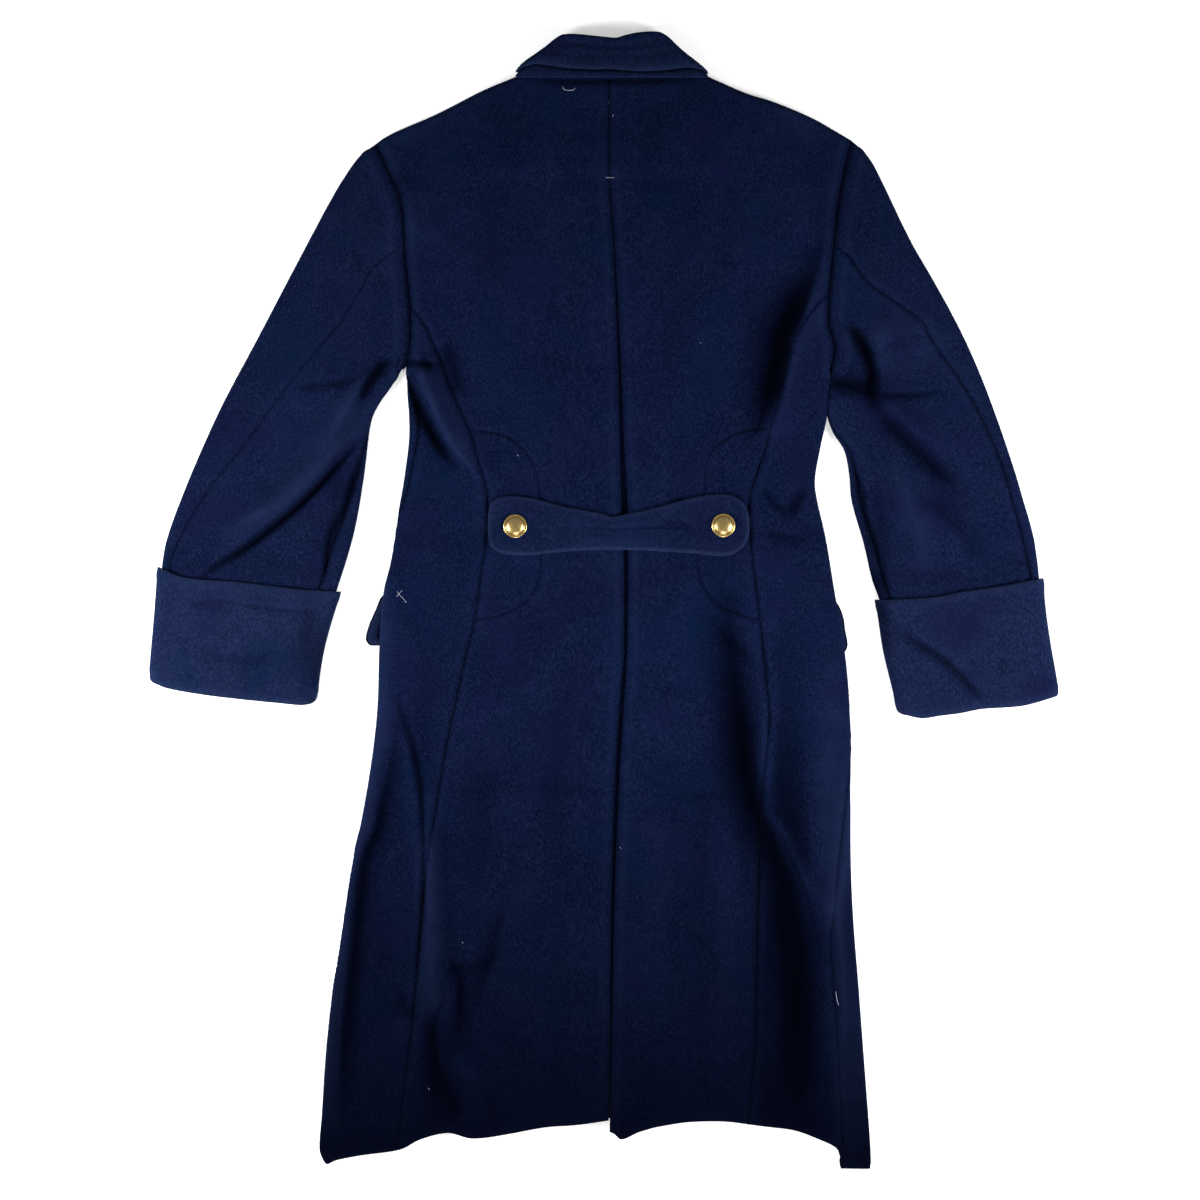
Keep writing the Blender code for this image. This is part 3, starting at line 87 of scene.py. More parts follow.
# The coat's halves.  Left and right are the wearer's, which in this view from behind are also the viewer's.
# hang and forearm have rows of y and how far in from the outermost edge the seam lies; below 0 it is underneath.
LEFT = Half(
    name="left", sign=1,
    axis=points(-230, 400, -385, -45),
    shoulder=points(-94.5, 562, -133.2, 545.8, -182.4, 521.2, -225.2, 502.7, -238.1, 495.5, -244.5, 490.6),
    outer=points(-244.5, 490.6, -261.6, 477.8, -277.7, 456.4, -293.7, 429.6, -328, 365.4, -372.9, 279.8,
        -407.1, 215.6, -429.6, 167.5, -454.2, 108.6, -469.2, 65.8, -473.5, 37, -475.2, 10, -478.4, -30, -481.5, -66,
        -481.5, -96),
    inner=points(-213, 251.5, -216.7, 248.8, -229.5, 228.4, -240.2, 213.5, -248.8, 196.3, -253.5, 170,
        -261.6, 108.6, -270.2, 65.8, -283, 22, -299.1, -29.5, -306.6, -61.6, -313.5, -112),
    side=points(-213, 251.5, -211, 226.3, -209.2, 178, -214.5, 130, -221, 92.6, -228.4, 42.3, -237, 7, -241, -46.5,
        -243.4, -116.1, -254.1, -201.7, -272.3, -298, -284.6, -383.6, -296.9, -469.2, -303.3, -554.8, -305.5, -582,
        -303.6, -594, -299.5, -603),
    armhole=points(-244.5, 490.6, -232.7, 464.9, -218.8, 431.7, -214.5, 406.1, -213.5, 376.1, -209.2, 333.3,
        -207, 300, -208.5, 270, -213, 251.5),
    seam=points(-190, 292, -174.9, 256.3, -165.3, 228.4, -145, 183.5, -135.4, 151.4, -126.8, 122.5, -123.6, 92.6,
        -124.7, 71.2, -131.1, 35.8, -138.6, -18.7, -149.3, -62.6, -170.7, -164.2, -188.9, -276.6, -202.8, -426.4,
        -216.7, -539.8, -219.9, -587),
    half_moon=points(-145, 183.5, -120.4, 181, -99, 173.9, -81.9, 156.8, -71.2, 130, -69, 81.9, -67.9, 33.7,
        -75.4, 10.2, -95.8, -8, -120, -16.6, -138.6, -18.7),
    hem=points(-305, -597, -298, -603, -288.4, -598.7, -261.6, -593.3, -218.8, -586.9, -197.4, -576.2,
        -167.5, -569.2, -141.8, -575.1, -101.1, -569.8, -61.5, -562.3, -26.2, -559.1, 2.7, -554.8),
    hang=points(260, 0, 251.5, 0, 230, 4, 205, 12, 183, 13, 146, 9, 121, 8, 93, 4, 70, 0, 20, -10, -40, -22,
        -120, -30, -620, -34),
    elbow=points(-214, 384, -248.8, 356.8, -261.6, 333.3, -283, 299.1, -325.8, 247.7, -357.9, 204.9, -390, 162.1,
        -420, 124.7, -443.5, 88, -458, 58, -464, 37, -467, -30, -470, -110),
    forearm=points(260, 0, 251.5, 0, 200, 1, 150, 6, 103, 14, 55, 21, 14, 21, -120, 21),
    cuff_top=points(-490, 41, -475.6, 36.9, -454.2, 27.3, -432.8, 24.1, -390, 20.9, -325.8, 13.4, -285.2, 11.2,
        -275, 11),
    cuff_end=points(-487, -70, -483.1, -82, -477.8, -88, -467.1, -92.6, -432.8, -99, -390, -104.3, -347.2, -108.6,
        -320.5, -110.8, -314, -108, -309, -101, -300, -95),
)

RIGHT = Half(
    name="right", sign=-1,
    axis=points(245, 400, 385, -50),
    shoulder=points(110.5, 562, 151.4, 544.7, 178.2, 536.6, 209.2, 524.2, 229.5, 514.6, 249.8, 502.7, 263.8, 494.6),
    outer=points(263.8, 494.6, 274.5, 485.2, 285.2, 473, 296.9, 451, 328, 386.8, 352.6, 344, 376.1, 301.2,
        396.4, 258.4, 413.6, 215.6, 436, 151.4, 448.9, 108.6, 460.6, 65.8, 464.8, 26.2, 467, -5, 472.5, -45,
        479, -82, 482, -108),
    inner=points(241.5, 250, 239.2, 225, 238, 202, 245.2, 181, 257.3, 162.1, 262.7, 135, 264.8, 108.6, 276.6, 65.8,
        286.5, 23, 294.5, -1, 302.8, -51.9, 313, -94.7, 319, -124),
    side=points(241.5, 250, 240.4, 225, 238.6, 198, 230.6, 162.1, 225.2, 130, 227.4, 108.6, 235.9, 71.2,
        245.6, 12.3, 257.3, -57.2, 262.7, -116.1, 264.3, -153.5, 263, -212.4, 265.5, -319.4, 273.4, -426.4,
        279.8, -512, 285.2, -586.9, 285, -608),
    armhole=points(263.8, 494.6, 257.3, 466, 248.8, 420, 246.3, 395.4, 242, 355, 238.8, 320, 239, 298, 243.6, 282,
        245.6, 268, 241.5, 250),
    seam=points(217.7, 306, 204.9, 285, 195.3, 256.3, 186.7, 213.5, 177.1, 185.6, 170.7, 157.8, 158, 122,
        153.5, 97.9, 155.7, 65.8, 161, 23, 166, -18.7, 172.8, -84, 175.5, -126.8, 168.5, -201.7, 163.2, -340.8,
        160, -479.9, 153.5, -560),
    half_moon=points(177.1, 185.6, 155.7, 184, 134.3, 177, 117.2, 164.2, 108.6, 146.1, 107.5, 116.1, 103.3, 81.9,
        99, 50.8, 103.3, 20.9, 118.2, -0.5, 145, -14.4, 166, -18.7),
    hem=points(285.5, -601, 283, -606, 277, -608.5, 256, -607, 252.8, -603, 251.8, -592, 247.7, -584.7,
        230.6, -576.2, 203.8, -566.6, 171.7, -562.3, 123.6, -556.4, 64.7, -560.1, 38, -566.6, 17.7, -575.1,
        10.2, -568.7, 2.7, -566),
    hang=points(260, 0, 250, 0, 200, -3, 100, -6, 0, -6, -120, -4, -180, 4, -244, 11, -309, 20, -362, 29, -469, 30,
        -587, 34, -620, 34),
    elbow=points(245.3, 384, 262.7, 367.5, 281.9, 341.9, 297, 331, 337.6, 301.2, 348.3, 281.9, 380.4, 237,
        401.8, 199.6, 423.2, 151.4, 439.2, 97.9, 449, 60, 455, 25, 458, -40, 466, -120),
    forearm=points(260, 0, 250, 0, 200, 2, 150, 8, 108, 11, 60, 14, 7, 14, -130, 14),
    cuff_top=points(275, 2.7, 289.4, 2.7, 305.5, 2.1, 337.6, 3.7, 359, 5.9, 380.4, 10.2, 423.2, 16.6, 468.1, 25.1,
        480, 27),
    cuff_end=points(305, -103, 313, -112, 318, -119, 337.6, -124.7, 359, -122, 380.4, -119.3, 401.8, -115,
        444.6, -111.8, 466, -106.5, 481, -101, 485.5, -94, 489, -85),
)
HALVES = (LEFT, RIGHT)

CENTRE_BACK = points(4.8, 562, 5.4, 453, 10.2, 380, 14.4, 291.6, 16.6, 237, 19.3, 151, 21.4, 103, 23, 52, 23, 1.6,
    21.9, -62.6, 18.7, -105, 13.4, -191, 9.1, -319, 5.9, -512, 4.8, -568)
# The gap between the two backs: y and width
PLEAT = points(-580, 1.0, -448, 1.6, -319, 2.8, -213, 4.4, -105, 4.4, -62, 3, 20, 4, 60, 5, 103, 6.6, 170, 4,
    237, 2.6, 380, 1.0, 453, 0.2, 562, 0.0)

# The largest folds of the top sheet, as they lie in the coat's frame.  rise is in millimetres, near and far are
# the widths to the left and right of the path, looking along it.
FOLDS = [
    # left side: ridge that the back makes at the armpit, and the valley on its outer side
    fold(9, 16, 10, -207, 272, -190, 240, -176, 205, -158, 170, -136, 140),
    fold(-3, 12, 16, -203, 225, -190, 190, -172, 150),
    # right side: overhanging edge of the back and the deep valley beside it
    fold(9, 22, 7, 228, 368, 214, 315, 206, 285, 192, 230, 180, 190, 170, 156),
    # armpit ridge and the sharp diagonal of the left sleeve
    fold(9, 12, 18, -242, 256, -256, 238, -271, 212, -285, 190, -300, 150),
    fold(8, 5.5, 24, -265, 184, -288, 158, -330, 111, -372, 74, -416, 46),
    fold(6, 18, 22, -345, 222, -310, 234, -278, 240),
    # right sleeve
    fold(8, 12, 16, 263, 290, 276, 262, 290, 228, 318, 196, 352, 168),
    fold(6, 20, 20, 286, 300, 316, 290, 352, 286),
    fold(7, 16, 20, 330, 110, 360, 80, 392, 60),
    # skirt, left side
    fold(7, 14, 10, -222, -110, -205, -170, -198, -230, -197, -320),
    fold(9, 12, 14, -187, -215, -183, -300, -184, -400, -190, -480),
    fold(8, 18, 26, -262, -180, -268, -260, -280, -340, -288, -430, -292, -540),
    fold(7, 30, 34, -95, -170, -88, -260, -84, -360),
    fold(6, 26, 30, -120, -440, -112, -500, -110, -566),
    # skirt, right side
    fold(10, 12, 20, 169, -110, 170, -200, 180, -240, 198, -285, 216, -310, 242, -350),
    fold(7, 22, 26, 226, -400, 222, -480, 226, -560),
    fold(8, 34, 24, 128, -150, 130, -260, 126, -400, 120, -540),
    fold(6, 24, 26, 60, -190, 62, -300, 58, -420),
    # shoulders
    fold(5, 22, 24, -196, 460, -200, 420, -196, 380),
    fold(5, 24, 22, 200, 470, 206, 420, 206, 370),
]

BAR_TACK = (5.35, 453.0)        # the bar that closes the top of the pleat
BELT = [BeltCut(*row) for row in ((-124.7, 74, 92), (-122, 60, 104), (-115, 53.5, 110), (-106, 50.5, 112.6),
    (-94, 49.5, 112.8), (-75, 49.8, 110), (-45, 53, 102), (-5, 55, 94.5), (8, 55, 91), (22, 55, 93), (50, 54, 99),
    (92, 51.5, 110.5), (110, 49.8, 114), (127, 48.6, 115.2), (138, 50.5, 112.5), (148, 58, 106), (153, 67, 97),
    (155.2, 76, 88))]
BUTTONS = {"left": Point(-95.4, 80.5), "right": Point(127.0, 81.3)}

# The collar, as a band round the neck: its visible part at the back, then its plain fronts underneath
COLLAR_LEFT = points(-98, 420, -98, 562, -95.5, 568, -88, 576.5, -69.5, 590, -58.5, 599, -52, 610)
COLLAR_RIGHT = points(114, 420, 114, 560, 110.5, 568, 100, 577, 84, 590, 72, 602, 66, 612)
FOLD_LINE = points(-60, 598, -49, 605, -39, 606.8, -26, 606.4, 0, 603.8, 13, 602.8, 20, 605, 33, 608, 48, 609.5,
    58, 609, 66, 607, 75, 601)
FALL_EDGE = points(-104, 562, -98, 566, -94, 568, -85, 571.5, -74, 574.2, -54, 571.6, -37, 569.6, -14, 568.4,
    6, 568.8, 26, 567, 49, 566.6, 71, 568.2, 88, 570.2, 103, 568.6, 110, 566.4, 120, 562)

# Sharper creases and soft troughs of the top sheet, named by where they are
CREASES = [
    # left sleeve
    #   sharp diagonal valley
    fold(-5, 3.6, 3.8, -259, 175, -283, 149, -304, 125, -326, 103, -347, 85, -369, 68, -390, 53, -411, 41, -430, 26),
    fold(3, 10, 5, -270, 181, -294, 160, -320, 134, -347, 111, -374, 93, -401, 77),  # ridge above it
    # left armpit
    fold(3, 6, 4, -242, 256, -256, 239, -270, 218, -281, 200, -292, 178),  # ridge
    fold(-5, 6, 6, -224, 257, -238, 254, -249, 240, -257, 226, -264, 212),  # dark crescent
    fold(-4, 5, 5, -180, 252, -200, 256, -216, 256),  # its start on the body
    # left sleeve
    fold(-1.6, 7, 9, -337, 221, -318, 228, -300, 231, -270, 236, -252, 244),  # trough
    fold(-0.9, 10, 12, -278, 381, -264, 368, -255, 349),  # upper trough
    fold(-4, 4, 5, -256, 169, -266, 140, -280, 96, -292, 74, -297, 44, -298, 20),  # inner dark fold
    # right sleeve
    fold(-6.5, 7, 5, 258, 294, 267, 290, 275, 275, 281, 260, 285, 244, 283, 226, 287, 211),  # pit valley
    fold(-3.4, 9, 10, 288, 207, 297, 197, 314, 181, 330, 166, 347, 149, 362, 136, 380, 122),  # its soft run
    fold(-1.2, 16, 16, 330, 120, 366, 90, 392, 62, 412, 40),  # soft dark field below
    fold(-4.4, 9, 9, 200, 240, 222, 239, 238, 237, 257, 234, 276, 228, 292, 220),  # level fold
    fold(-1.9, 3.5, 4, 284, 224, 300, 221, 321, 221, 341, 222, 362, 227),  # its thin end
    fold(-0.9, 7, 6, 288, 268, 308, 274, 330, 281, 352, 285),  # upper trough
    fold(2.0, 12, 13, 308, 160, 320, 125, 336, 70, 346, 20),  # pale ridge
    fold(-2.6, 3, 9, 258, 160, 267, 142, 276, 120, 281, 85, 292, 50, 299, 15),  # inner edge valley
    fold(2.5, 7, 7, 286, 296, 294, 270, 299, 245),  # ridge beside the pit
    # right cuff
    fold(-4.2, 4, 6, 308, -28, 325, -38, 343, -49, 362, -62, 378, -77, 394, -94, 408, -113),  # diagonal trough
    fold(-1.6, 4, 5, 425, -58, 424, -72, 427, -84),  # short crease
    # left cuff
    fold(-1.2, 9, 12, -449, -41, -417, -57, -379, -63, -337, -52),  # soft trough
    fold(-1.8, 2.2, 3, -468, 5, -440, -1, -414, 1, -369, -6, -340, -9, -300, -12),  # line under its edge
    fold(1.2, 4, 4, -468, 11, -440, 6, -414, 7, -369, 1, -326, -4, -294, -5),  # ridge above that line
    # right cuff
    fold(-1.0, 2.5, 3.5, 340, -6, 370, -1, 402, 4, 450, 10),  # line under its edge
    fold(1.6, 5, 5, 334, -36, 352, -45, 372, -57, 388, -71, 404, -89, 418, -108),  # ridge beside the trough
    # left side
    #   ridge edge
    fold(3, 4, 6, -208, 264, -197, 258, -192, 232, -185, 216, -176, 194, -165, 173, -157, 160, -144, 146, -133, 135),
    fold(-5, 7, 5, -215, 246, -204, 221, -193, 196, -182, 177, -170, 157, -159, 145),  # valley
    # left side-back
    fold(-2.5, 8, 10, -171, 285, -163, 253, -152, 216),  # soft valley
    # left shoulder
    fold(-1.6, 9, 9, -219, 467, -217, 446, -217, 424),  # trough
    # right side
    fold(-7.5, 5, 22, 227, 355, 217, 330, 209, 306, 198, 285, 194, 261, 187, 229, 180, 211, 168, 190),  # valley
    #   overhanging edge
    fold(2.6, 4, 6, 232, 362, 222, 330, 214, 306, 203, 285, 199, 258, 192, 226, 184, 205, 174, 180),
    fold(-2.0, 4, 3.5, 166, 124, 176, 112, 186, 100, 194, 90),  # dent, its left arm
    fold(-2.6, 5, 6, 214, 121, 206, 108, 196, 91),  # dent, its right arm
    fold(-1.4, 6, 7, 166, 75, 190, 70, 214, 68),  # soft level crease
    # right skirt
    fold(-1.5, 4, 6, 118, -20, 129, -36, 145, -52, 161, -68),  # diagonal crease
    # across several pieces
    fold(-0.7, 3, 3, 64, -57, 66, -95, 67, -127),  # small upright creases
    fold(-0.5, 6, 9, -176, -204, -90, -197, 6, -202, 102, -208, 188, -202),  # level soft crease
    fold(-0.5, 6, 8, -144, -469, -48, -465, 59, -469, 166, -465),  # low level soft crease
    # skirt left
    fold(3.5, 6, 6, -236, -90, -240, -150, -250, -205, -256, -240, -268, -272, -279, -320, -285, -380, -290, -450,
         -295, -560),  # rolled band's edge
    fold(-3.4, 12, 6, -222, -125, -226, -165, -235, -205, -242, -240, -256, -272, -262, -320, -268, -380,
         -276, -450, -282, -560),  # drop beside the band
    fold(-3.4, 4, 4, -223, -100, -211, -135, -201, -170, -196, -204, -194, -233, -193, -267, -193, -315, -196, -355,
         -200, -393),  # crease
    fold(2.6, 8, 9, -192, -212, -187, -298, -182, -384, -176, -491),  # ridge
    fold(-1.0, 24, 30, -133, -148, -129, -212, -123, -277, -118, -319),  # soft dark trough
    # lower left
    fold(-4.8, 7, 9, -172, -425, -182, -450, -182, -478, -178, -502, -168, -525, -159, -545),  # dark fold
    fold(-2.0, 9, 9, -219, -418, -212, -436, -200, -446),  # soft dent beside the seam
    fold(2.2, 9, 10, -160, -480, -150, -500, -136, -512),  # lump
    fold(-1.6, 9, 10, -186, -560, -178, -530, -190, -506, -204, -490),  # dark hollow at the seam
    fold(-1.2, 9, 9, -128, -520, -120, -540, -122, -564),  # short fold at the hem
    # across several pieces
    fold(-1.5, 4, 5, -163, -523, -158, -544, -167, -569),  # lower left crease
    # lower left
    fold(-1.7, 4, 6, -175, -402, -160, -391, -148, -390, -134, -390, -120, -384, -112, -372),  # level crease
    fold(-3.2, 7, 6, -162, -388, -155, -402, -154, -422, -155, -444, -160, -474),  # upright crease
    fold(-1.8, 5, 9, -106, -322, -116, -356, -124, -384, -134, -416, -140, -436),  # slanted crease
    fold(1.8, 6, 6, -168, -412, -168, -432, -166, -456),  # ridge between two creases
    # skirt right
    fold(-6.5, 12, 20, 131, 0, 140, -84, 155, -190, 172, -250, 192, -300, 206, -384, 210, -512),  # big valley
    fold(-4.0, 16, 22, 186, -330, 200, -400, 206, -470, 206, -560),  # its widest part
    fold(3.0, 7, 5, 172, -90, 169, -202, 175, -226, 191, -247, 218, -303, 244, -324),  # overhanging edge
    #   band edge
    fold(3.4, 5, 7, 262, -180, 258, -244, 250, -305, 245, -325, 250, -360, 254, -434, 251, -521, 253, -600),
    fold(1.4, 6, 7, 181, -345, 186, -400, 184, -460),  # low ridge in the valley
    fold(-0.8, 18, 22, 102, -170, 104, -255, 102, -351, 106, -437),  # soft trough
    # skirt middle left
    fold(-0.6, 20, 24, -48, -63, -52, -170, -48, -277, -52, -384),  # soft trough
    # neck
    fold(-2.4, 3, 3.5, -96, 560, -40, 557.2, 5, 557.6, 50, 557.4, 110, 560),  # shade below the collar
    # upper back left
    fold(-0.5, 24, 26, -112, 472, -120, 398, -112, 323),  # soft trough
    # upper back right
    fold(-0.5, 24, 26, 126, 483, 134, 408, 126, 323),  # soft trough
]


# Where light is painted pale (positive) or shade painted dark (negative) on the wool, as soft ellipses: strength,
# middle and half axes
Tone = namedtuple("Tone", "strength x y across along")
PAINTED_LIGHT_PATCHES = [Tone(*row) for row in (
    (1.2, -310, 160, 60, 90), (4.0, -240, -60, 13, 110), (3.4, -258, -200, 12, 70), (2.6, -284, -330, 10, 110),
    (3.6, 240, -200, 24, 130), (1.4, 262, -400, 14, 140), (-7.5, 196, -390, 30, 230), (-3.0, 160, -210, 16, 110),
    (-1.0, 132, -110, 12, 110), (-4.6, 292, 10, 13, 90), (-1.2, -194, -130, 14, 90), (-0.6, -140, -330, 20, 140),
    (-1.2, -240, -380, 20, 150), (0.7, -10, 60, 150, 80), (2.0, -190, 512, 60, 30), (2.0, 215, 512, 60, 30),
    (-2.6, 176, 250, 18, 60), (1.2, 330, 300, 50, 70), (1.0, -270, 380, 50, 90), (-2.4, -287, 130, 9, 60),
    (-2.2, -316, -45, 14, 45), (1.5, -450, -40, 40, 60), (7.0, -290, -400, 11, 150), (7.0, 270, -530, 11, 100),
    (-2.0, -170, -500, 30, 60))]


# ---------------------------------------------------------------- curves

CHUNK = 4096            # points measured at a time
FOLD_REACH = 2.6        # a fold counts this many of its widths away from its path
FOLD_ENDS = 0.25        # share of its height that a fold keeps at both ends
FOLD_TAPER = 0.3        # share of its length over which it rises
SLEEVE_FROM = Point(248, -115)      # farther out and higher than this a crease is one of a sleeve's

def smooth(table, step=3.0):
    """A Catmull-Rom curve through a table of points, read about every step millimetres."""
    p = np.array(table, float)
    p = np.vstack([2 * p[0] - p[1], p, 2 * p[-1] - p[-2]])
    out = [p[1]]
    for a, b, c, d in zip(p, p[1:], p[2:], p[3:]):
        chord = np.linalg.norm(c - b)
        start = (c - a) * chord / (np.linalg.norm(c - b) + np.linalg.norm(b - a))
        end = (d - b) * chord / (np.linalg.norm(d - c) + np.linalg.norm(c - b))
        for t in np.linspace(0, 1, max(2, int(chord / step) + 1))[1:]:
            out.append((2 * t**3 - 3 * t**2 + 1) * b + (t**3 - 2 * t**2 + t) * start
                       + (3 * t**2 - 2 * t**3) * c + (t**3 - t**2) * end)
    return np.array(out)


def lengths(curve):
    steps = np.linalg.norm(np.diff(curve, axis=0), axis=1)
    return np.concatenate([[0], np.cumsum(steps)])


def at_length(curve, s):
    run = lengths(curve)
    return np.column_stack([np.interp(s, run, curve[:, 0]), np.interp(s, run, curve[:, 1])])


def evenly(curve, count):
    return at_length(curve, np.linspace(0, lengths(curve)[-1], count + 1))


def x_at(curve, y):
    order = np.argsort(curve[:, 1])
    return np.interp(y, curve[order, 1], curve[order, 0])


def y_at(curve, x):
    order = np.argsort(curve[:, 0])
    return np.interp(x, curve[order, 0], curve[order, 1])


def ramp(value, start, end):
    t = np.clip((value - start) / (end - start), 0, 1)
    return t * t * (3 - 2 * t)


def swell(value, middle, width, power=2):
    """1 where the value is middle, falling off over the width on both sides."""
    return np.exp(-(((value - middle) / width) ** power))


def nearest(p, line):
    """From points to a polyline: distance, side (positive to its right), share along it, foot, normal to the right
    and how far past the line's ends the point lies."""
    a = line[:-1]
    d = np.diff(line, axis=0)
    size = np.linalg.norm(d, axis=1)
    keep = size > 1e-6
    a, d, size = a[keep], d[keep], size[keep]
    run = np.concatenate([[0], np.cumsum(size)])
    found = []
    for start in range(0, len(p), CHUNK):
        q = p[start:start + CHUNK]
        px = q[:, :1] - a[None, :, 0]
        py = q[:, 1:] - a[None, :, 1]
        raw = (px * d[:, 0] + py * d[:, 1]) / size**2
        t = np.clip(raw, 0, 1)
        distance = np.hypot(px - t * d[:, 0], py - t * d[:, 1])
        k = distance.argmin(1)
        i = np.arange(len(q))
        side = np.sign(px[i, k] * d[k, 1] - py[i, k] * d[k, 0])
        raw, t = raw[i, k], t[i, k]
        past = np.where(k == 0, np.maximum(-raw, 0), 0) + np.where(k == len(a) - 1, np.maximum(raw - 1, 0), 0)
        n = np.column_stack([d[k, 1], -d[k, 0]]) / size[k, None]
        found.append(np.column_stack([distance[i, k], side, (run[k] + t * size[k]) / run[-1],
                                      a[k] + t[:, None] * d[k], n, past * size[k]]))
    f = np.vstack(found)
    return f[:, 0], f[:, 1], f[:, 2], f[:, 3:5], f[:, 5:7], f[:, 7]


def sum_of(lines, x, y, sharp=2.0):
    """The height that folds or creases add at the points x, y of the coat's frame; sharp 2 is a soft wave."""
    total = np.zeros_like(x)
    for fold, line in lines:
        margin = FOLD_REACH * max(fold.near, fold.far)
        low, high = line.min(0) - margin, line.max(0) + margin
        here = (x > low[0]) & (x < high[0]) & (y > low[1]) & (y < high[1])
        if not here.any():
            continue
        distance, side, along, _, _, _ = nearest(np.column_stack([x[here], y[here]]), line)
        width = np.where(side > 0, fold.far, fold.near)
        taper = ramp(along, -0.02, FOLD_TAPER) * ramp(-along, -1.02, FOLD_TAPER - 1)
        total[here] += fold.rise * (FOLD_ENDS + (1 - FOLD_ENDS) * taper) * swell(distance, 0, width, sharp)
    return total


def traced(folds, step):
    """Each fold with its path as a curve."""
    return [(f, smooth(f.path, step)) for f in folds]


def on_sleeve(crease):
    middle = crease.path[len(crease.path) // 2]
    return abs(middle.x) > SLEEVE_FROM.x and middle.y > SLEEVE_FROM.y


FOLD_LINES = traced(FOLDS, 12.0)
CREASE_LINES = {"sleeve": traced([c for c in CREASES if on_sleeve(c)], 9.0),
                "body": traced([c for c in CREASES if not on_sleeve(c)], 9.0)}
WAVES = ((0.4, 71, 0.20), (1.95, 53, 0.20), (2.75, 97, 0.26), (1.2, 37, 0.13), (0.1, 23, 0.07), (2.3, 29, 0.08))


def rumple(x, y, seed=0.0):
    """Slow uneven waves, well under a millimetre, so that no stretch of cloth is quite flat."""
    total = 0.0
    for angle, length, size in WAVES:
        u = (x * np.cos(angle) + y * np.sin(angle)) / length
        v = (y * np.cos(angle) - x * np.sin(angle)) / length
        total = total + size * np.sin(2 * pi * u + 1.9 * np.sin(2 * pi * v / 1.6 + seed) + seed * 2.1 + angle * 7) \
            * np.cos(2 * pi * v / 2.3 + 1.1 * np.sin(2 * pi * u / 2.7) + seed)
    return total


# Where more layers lie below the top sheet.  Each pair is where the rise starts and where it is full.
COLLAR_LOW, COLLAR_ASIDE = (448, 468), (165, 118)
FLAP_LOW, FLAP_TOP, FLAP_INNER, FLAP_OUTER = (-130, -96), (82, 48), (55, 85), (300, 280)
LAP_ASIDE, LAP_TOP = (LAP + LAP_RAMP, LAP), (530, 480)
UNDERLAY_MIDDLE, UNDERLAY_ASIDE, UNDERLAY_TOP = 12, (78, 48), (470, 430)
PRESSED_AT, PRESSED_AXES, PRESSED = Point(15, 82), Point(170, 62), (0.9, 1.25)     # flat below the half belt


def heights(x, y, cover=0.0):
    """Outer faces of the top and bottom sheets.  cover is 1 where a sleeve lies inside its cuff."""
    aside = abs(x)
    collar = ramp(y, *COLLAR_LOW) * ramp(aside, *COLLAR_ASIDE)
    flap = ramp(aside, *FLAP_INNER) * ramp(y, *FLAP_LOW) * ramp(y, *FLAP_TOP) * ramp(aside, *FLAP_OUTER)
    under = LAYER * np.maximum(collar, flap) + (CUFF_LIFT + CUFF_WALL) * cover
    lap = ramp(aside, *LAP_ASIDE) * ramp(y, *LAP_TOP)
    underlay = ramp(abs(x - UNDERLAY_MIDDLE), *UNDERLAY_ASIDE) * ramp(y, *UNDERLAY_TOP)
    from_belt = np.hypot((x - PRESSED_AT.x) / PRESSED_AXES.x, (y - PRESSED_AT.y) / PRESSED_AXES.y)
    free = ramp(from_belt, *PRESSED) * (1 - cover)
    return under + SHEETS + LAYER * (lap + underlay) + free * sum_of(FOLD_LINES, x, y), under


# Painted light and shade of these patches at the points x, y
def painted_light_at(x, y):
    return sum(t.strength * np.exp(-((x - t.x) / t.across) ** 2 - ((y - t.y) / t.along) ** 2) for t in PAINTED_LIGHT_PATCHES)


def reach(w, roll=ROLL, arc=ARC):
    """How far in from the edge a point lies that is w millimetres along the cloth from it."""
    w = abs(w)
    return np.where(w < arc, roll * (1 - np.cos(np.minimum(w, arc) / arc * pi / 2)), roll + w - arc)


def offset(line, by, turn=1):
    """The line moved inwards by distances, one or one for each point; turn 1 has the outside to its right."""
    d = np.gradient(line, axis=0)
    n = np.column_stack([d[:, 1], -d[:, 0]]) * turn
    n /= np.linalg.norm(n, axis=1)[:, None]
    return line - n * np.broadcast_to(by, len(line))[:, None]


def from_table(table, y):
    rows = sorted(table)
    return np.interp(y, [row[0] for row in rows], [row[1] for row in rows])


def between(curve, y_high, y_low):
    """The part of a falling curve between two heights."""
    inside = curve[(curve[:, 1] < y_high) & (curve[:, 1] > y_low)]
    ends = [[[x_at(curve, y), y]] for y in (y_high, y_low)]
    return np.vstack([ends[0], inside, ends[1]])


# ---------------------------------------------------------------- from flat cut to laid cloth

PAST = 9.0              # how far past the end of an edge line its roll fades out
MERGE = 0.3             # points of neighbouring parts this close become one
CUFF_CREASES = 0.6      # the doubled cloth of a lifted cuff creases less
FLOOR_EASE = 2.0        # over this height the creases run out on the deepest level


def edge_of(p, lines):
    """For each point the nearest outermost edge: distance inwards, outward direction and how much it counts."""
    inward = np.full(len(p), 1e9)
    out = np.zeros((len(p), 2))
    counts = np.zeros(len(p))
    for line, turn in lines:
        distance, side, _, foot, n, past = nearest(p, line)
        deep = -turn * side * distance
        o = turn * n
        beyond = past > 1e-3
        deep[beyond] = np.sum((foot - p)[beyond] * o[beyond], axis=1)
        far = (abs(deep) > 0.05) & ~beyond
        o[far] = (foot - p)[far] / deep[far, None]
        share = ramp(-past, -PAST, 0)
        better = (deep < inward) & (share > 0)
        inward[better], out[better], counts[better] = deep[better], o[better], share[better]
    return inward, out, counts


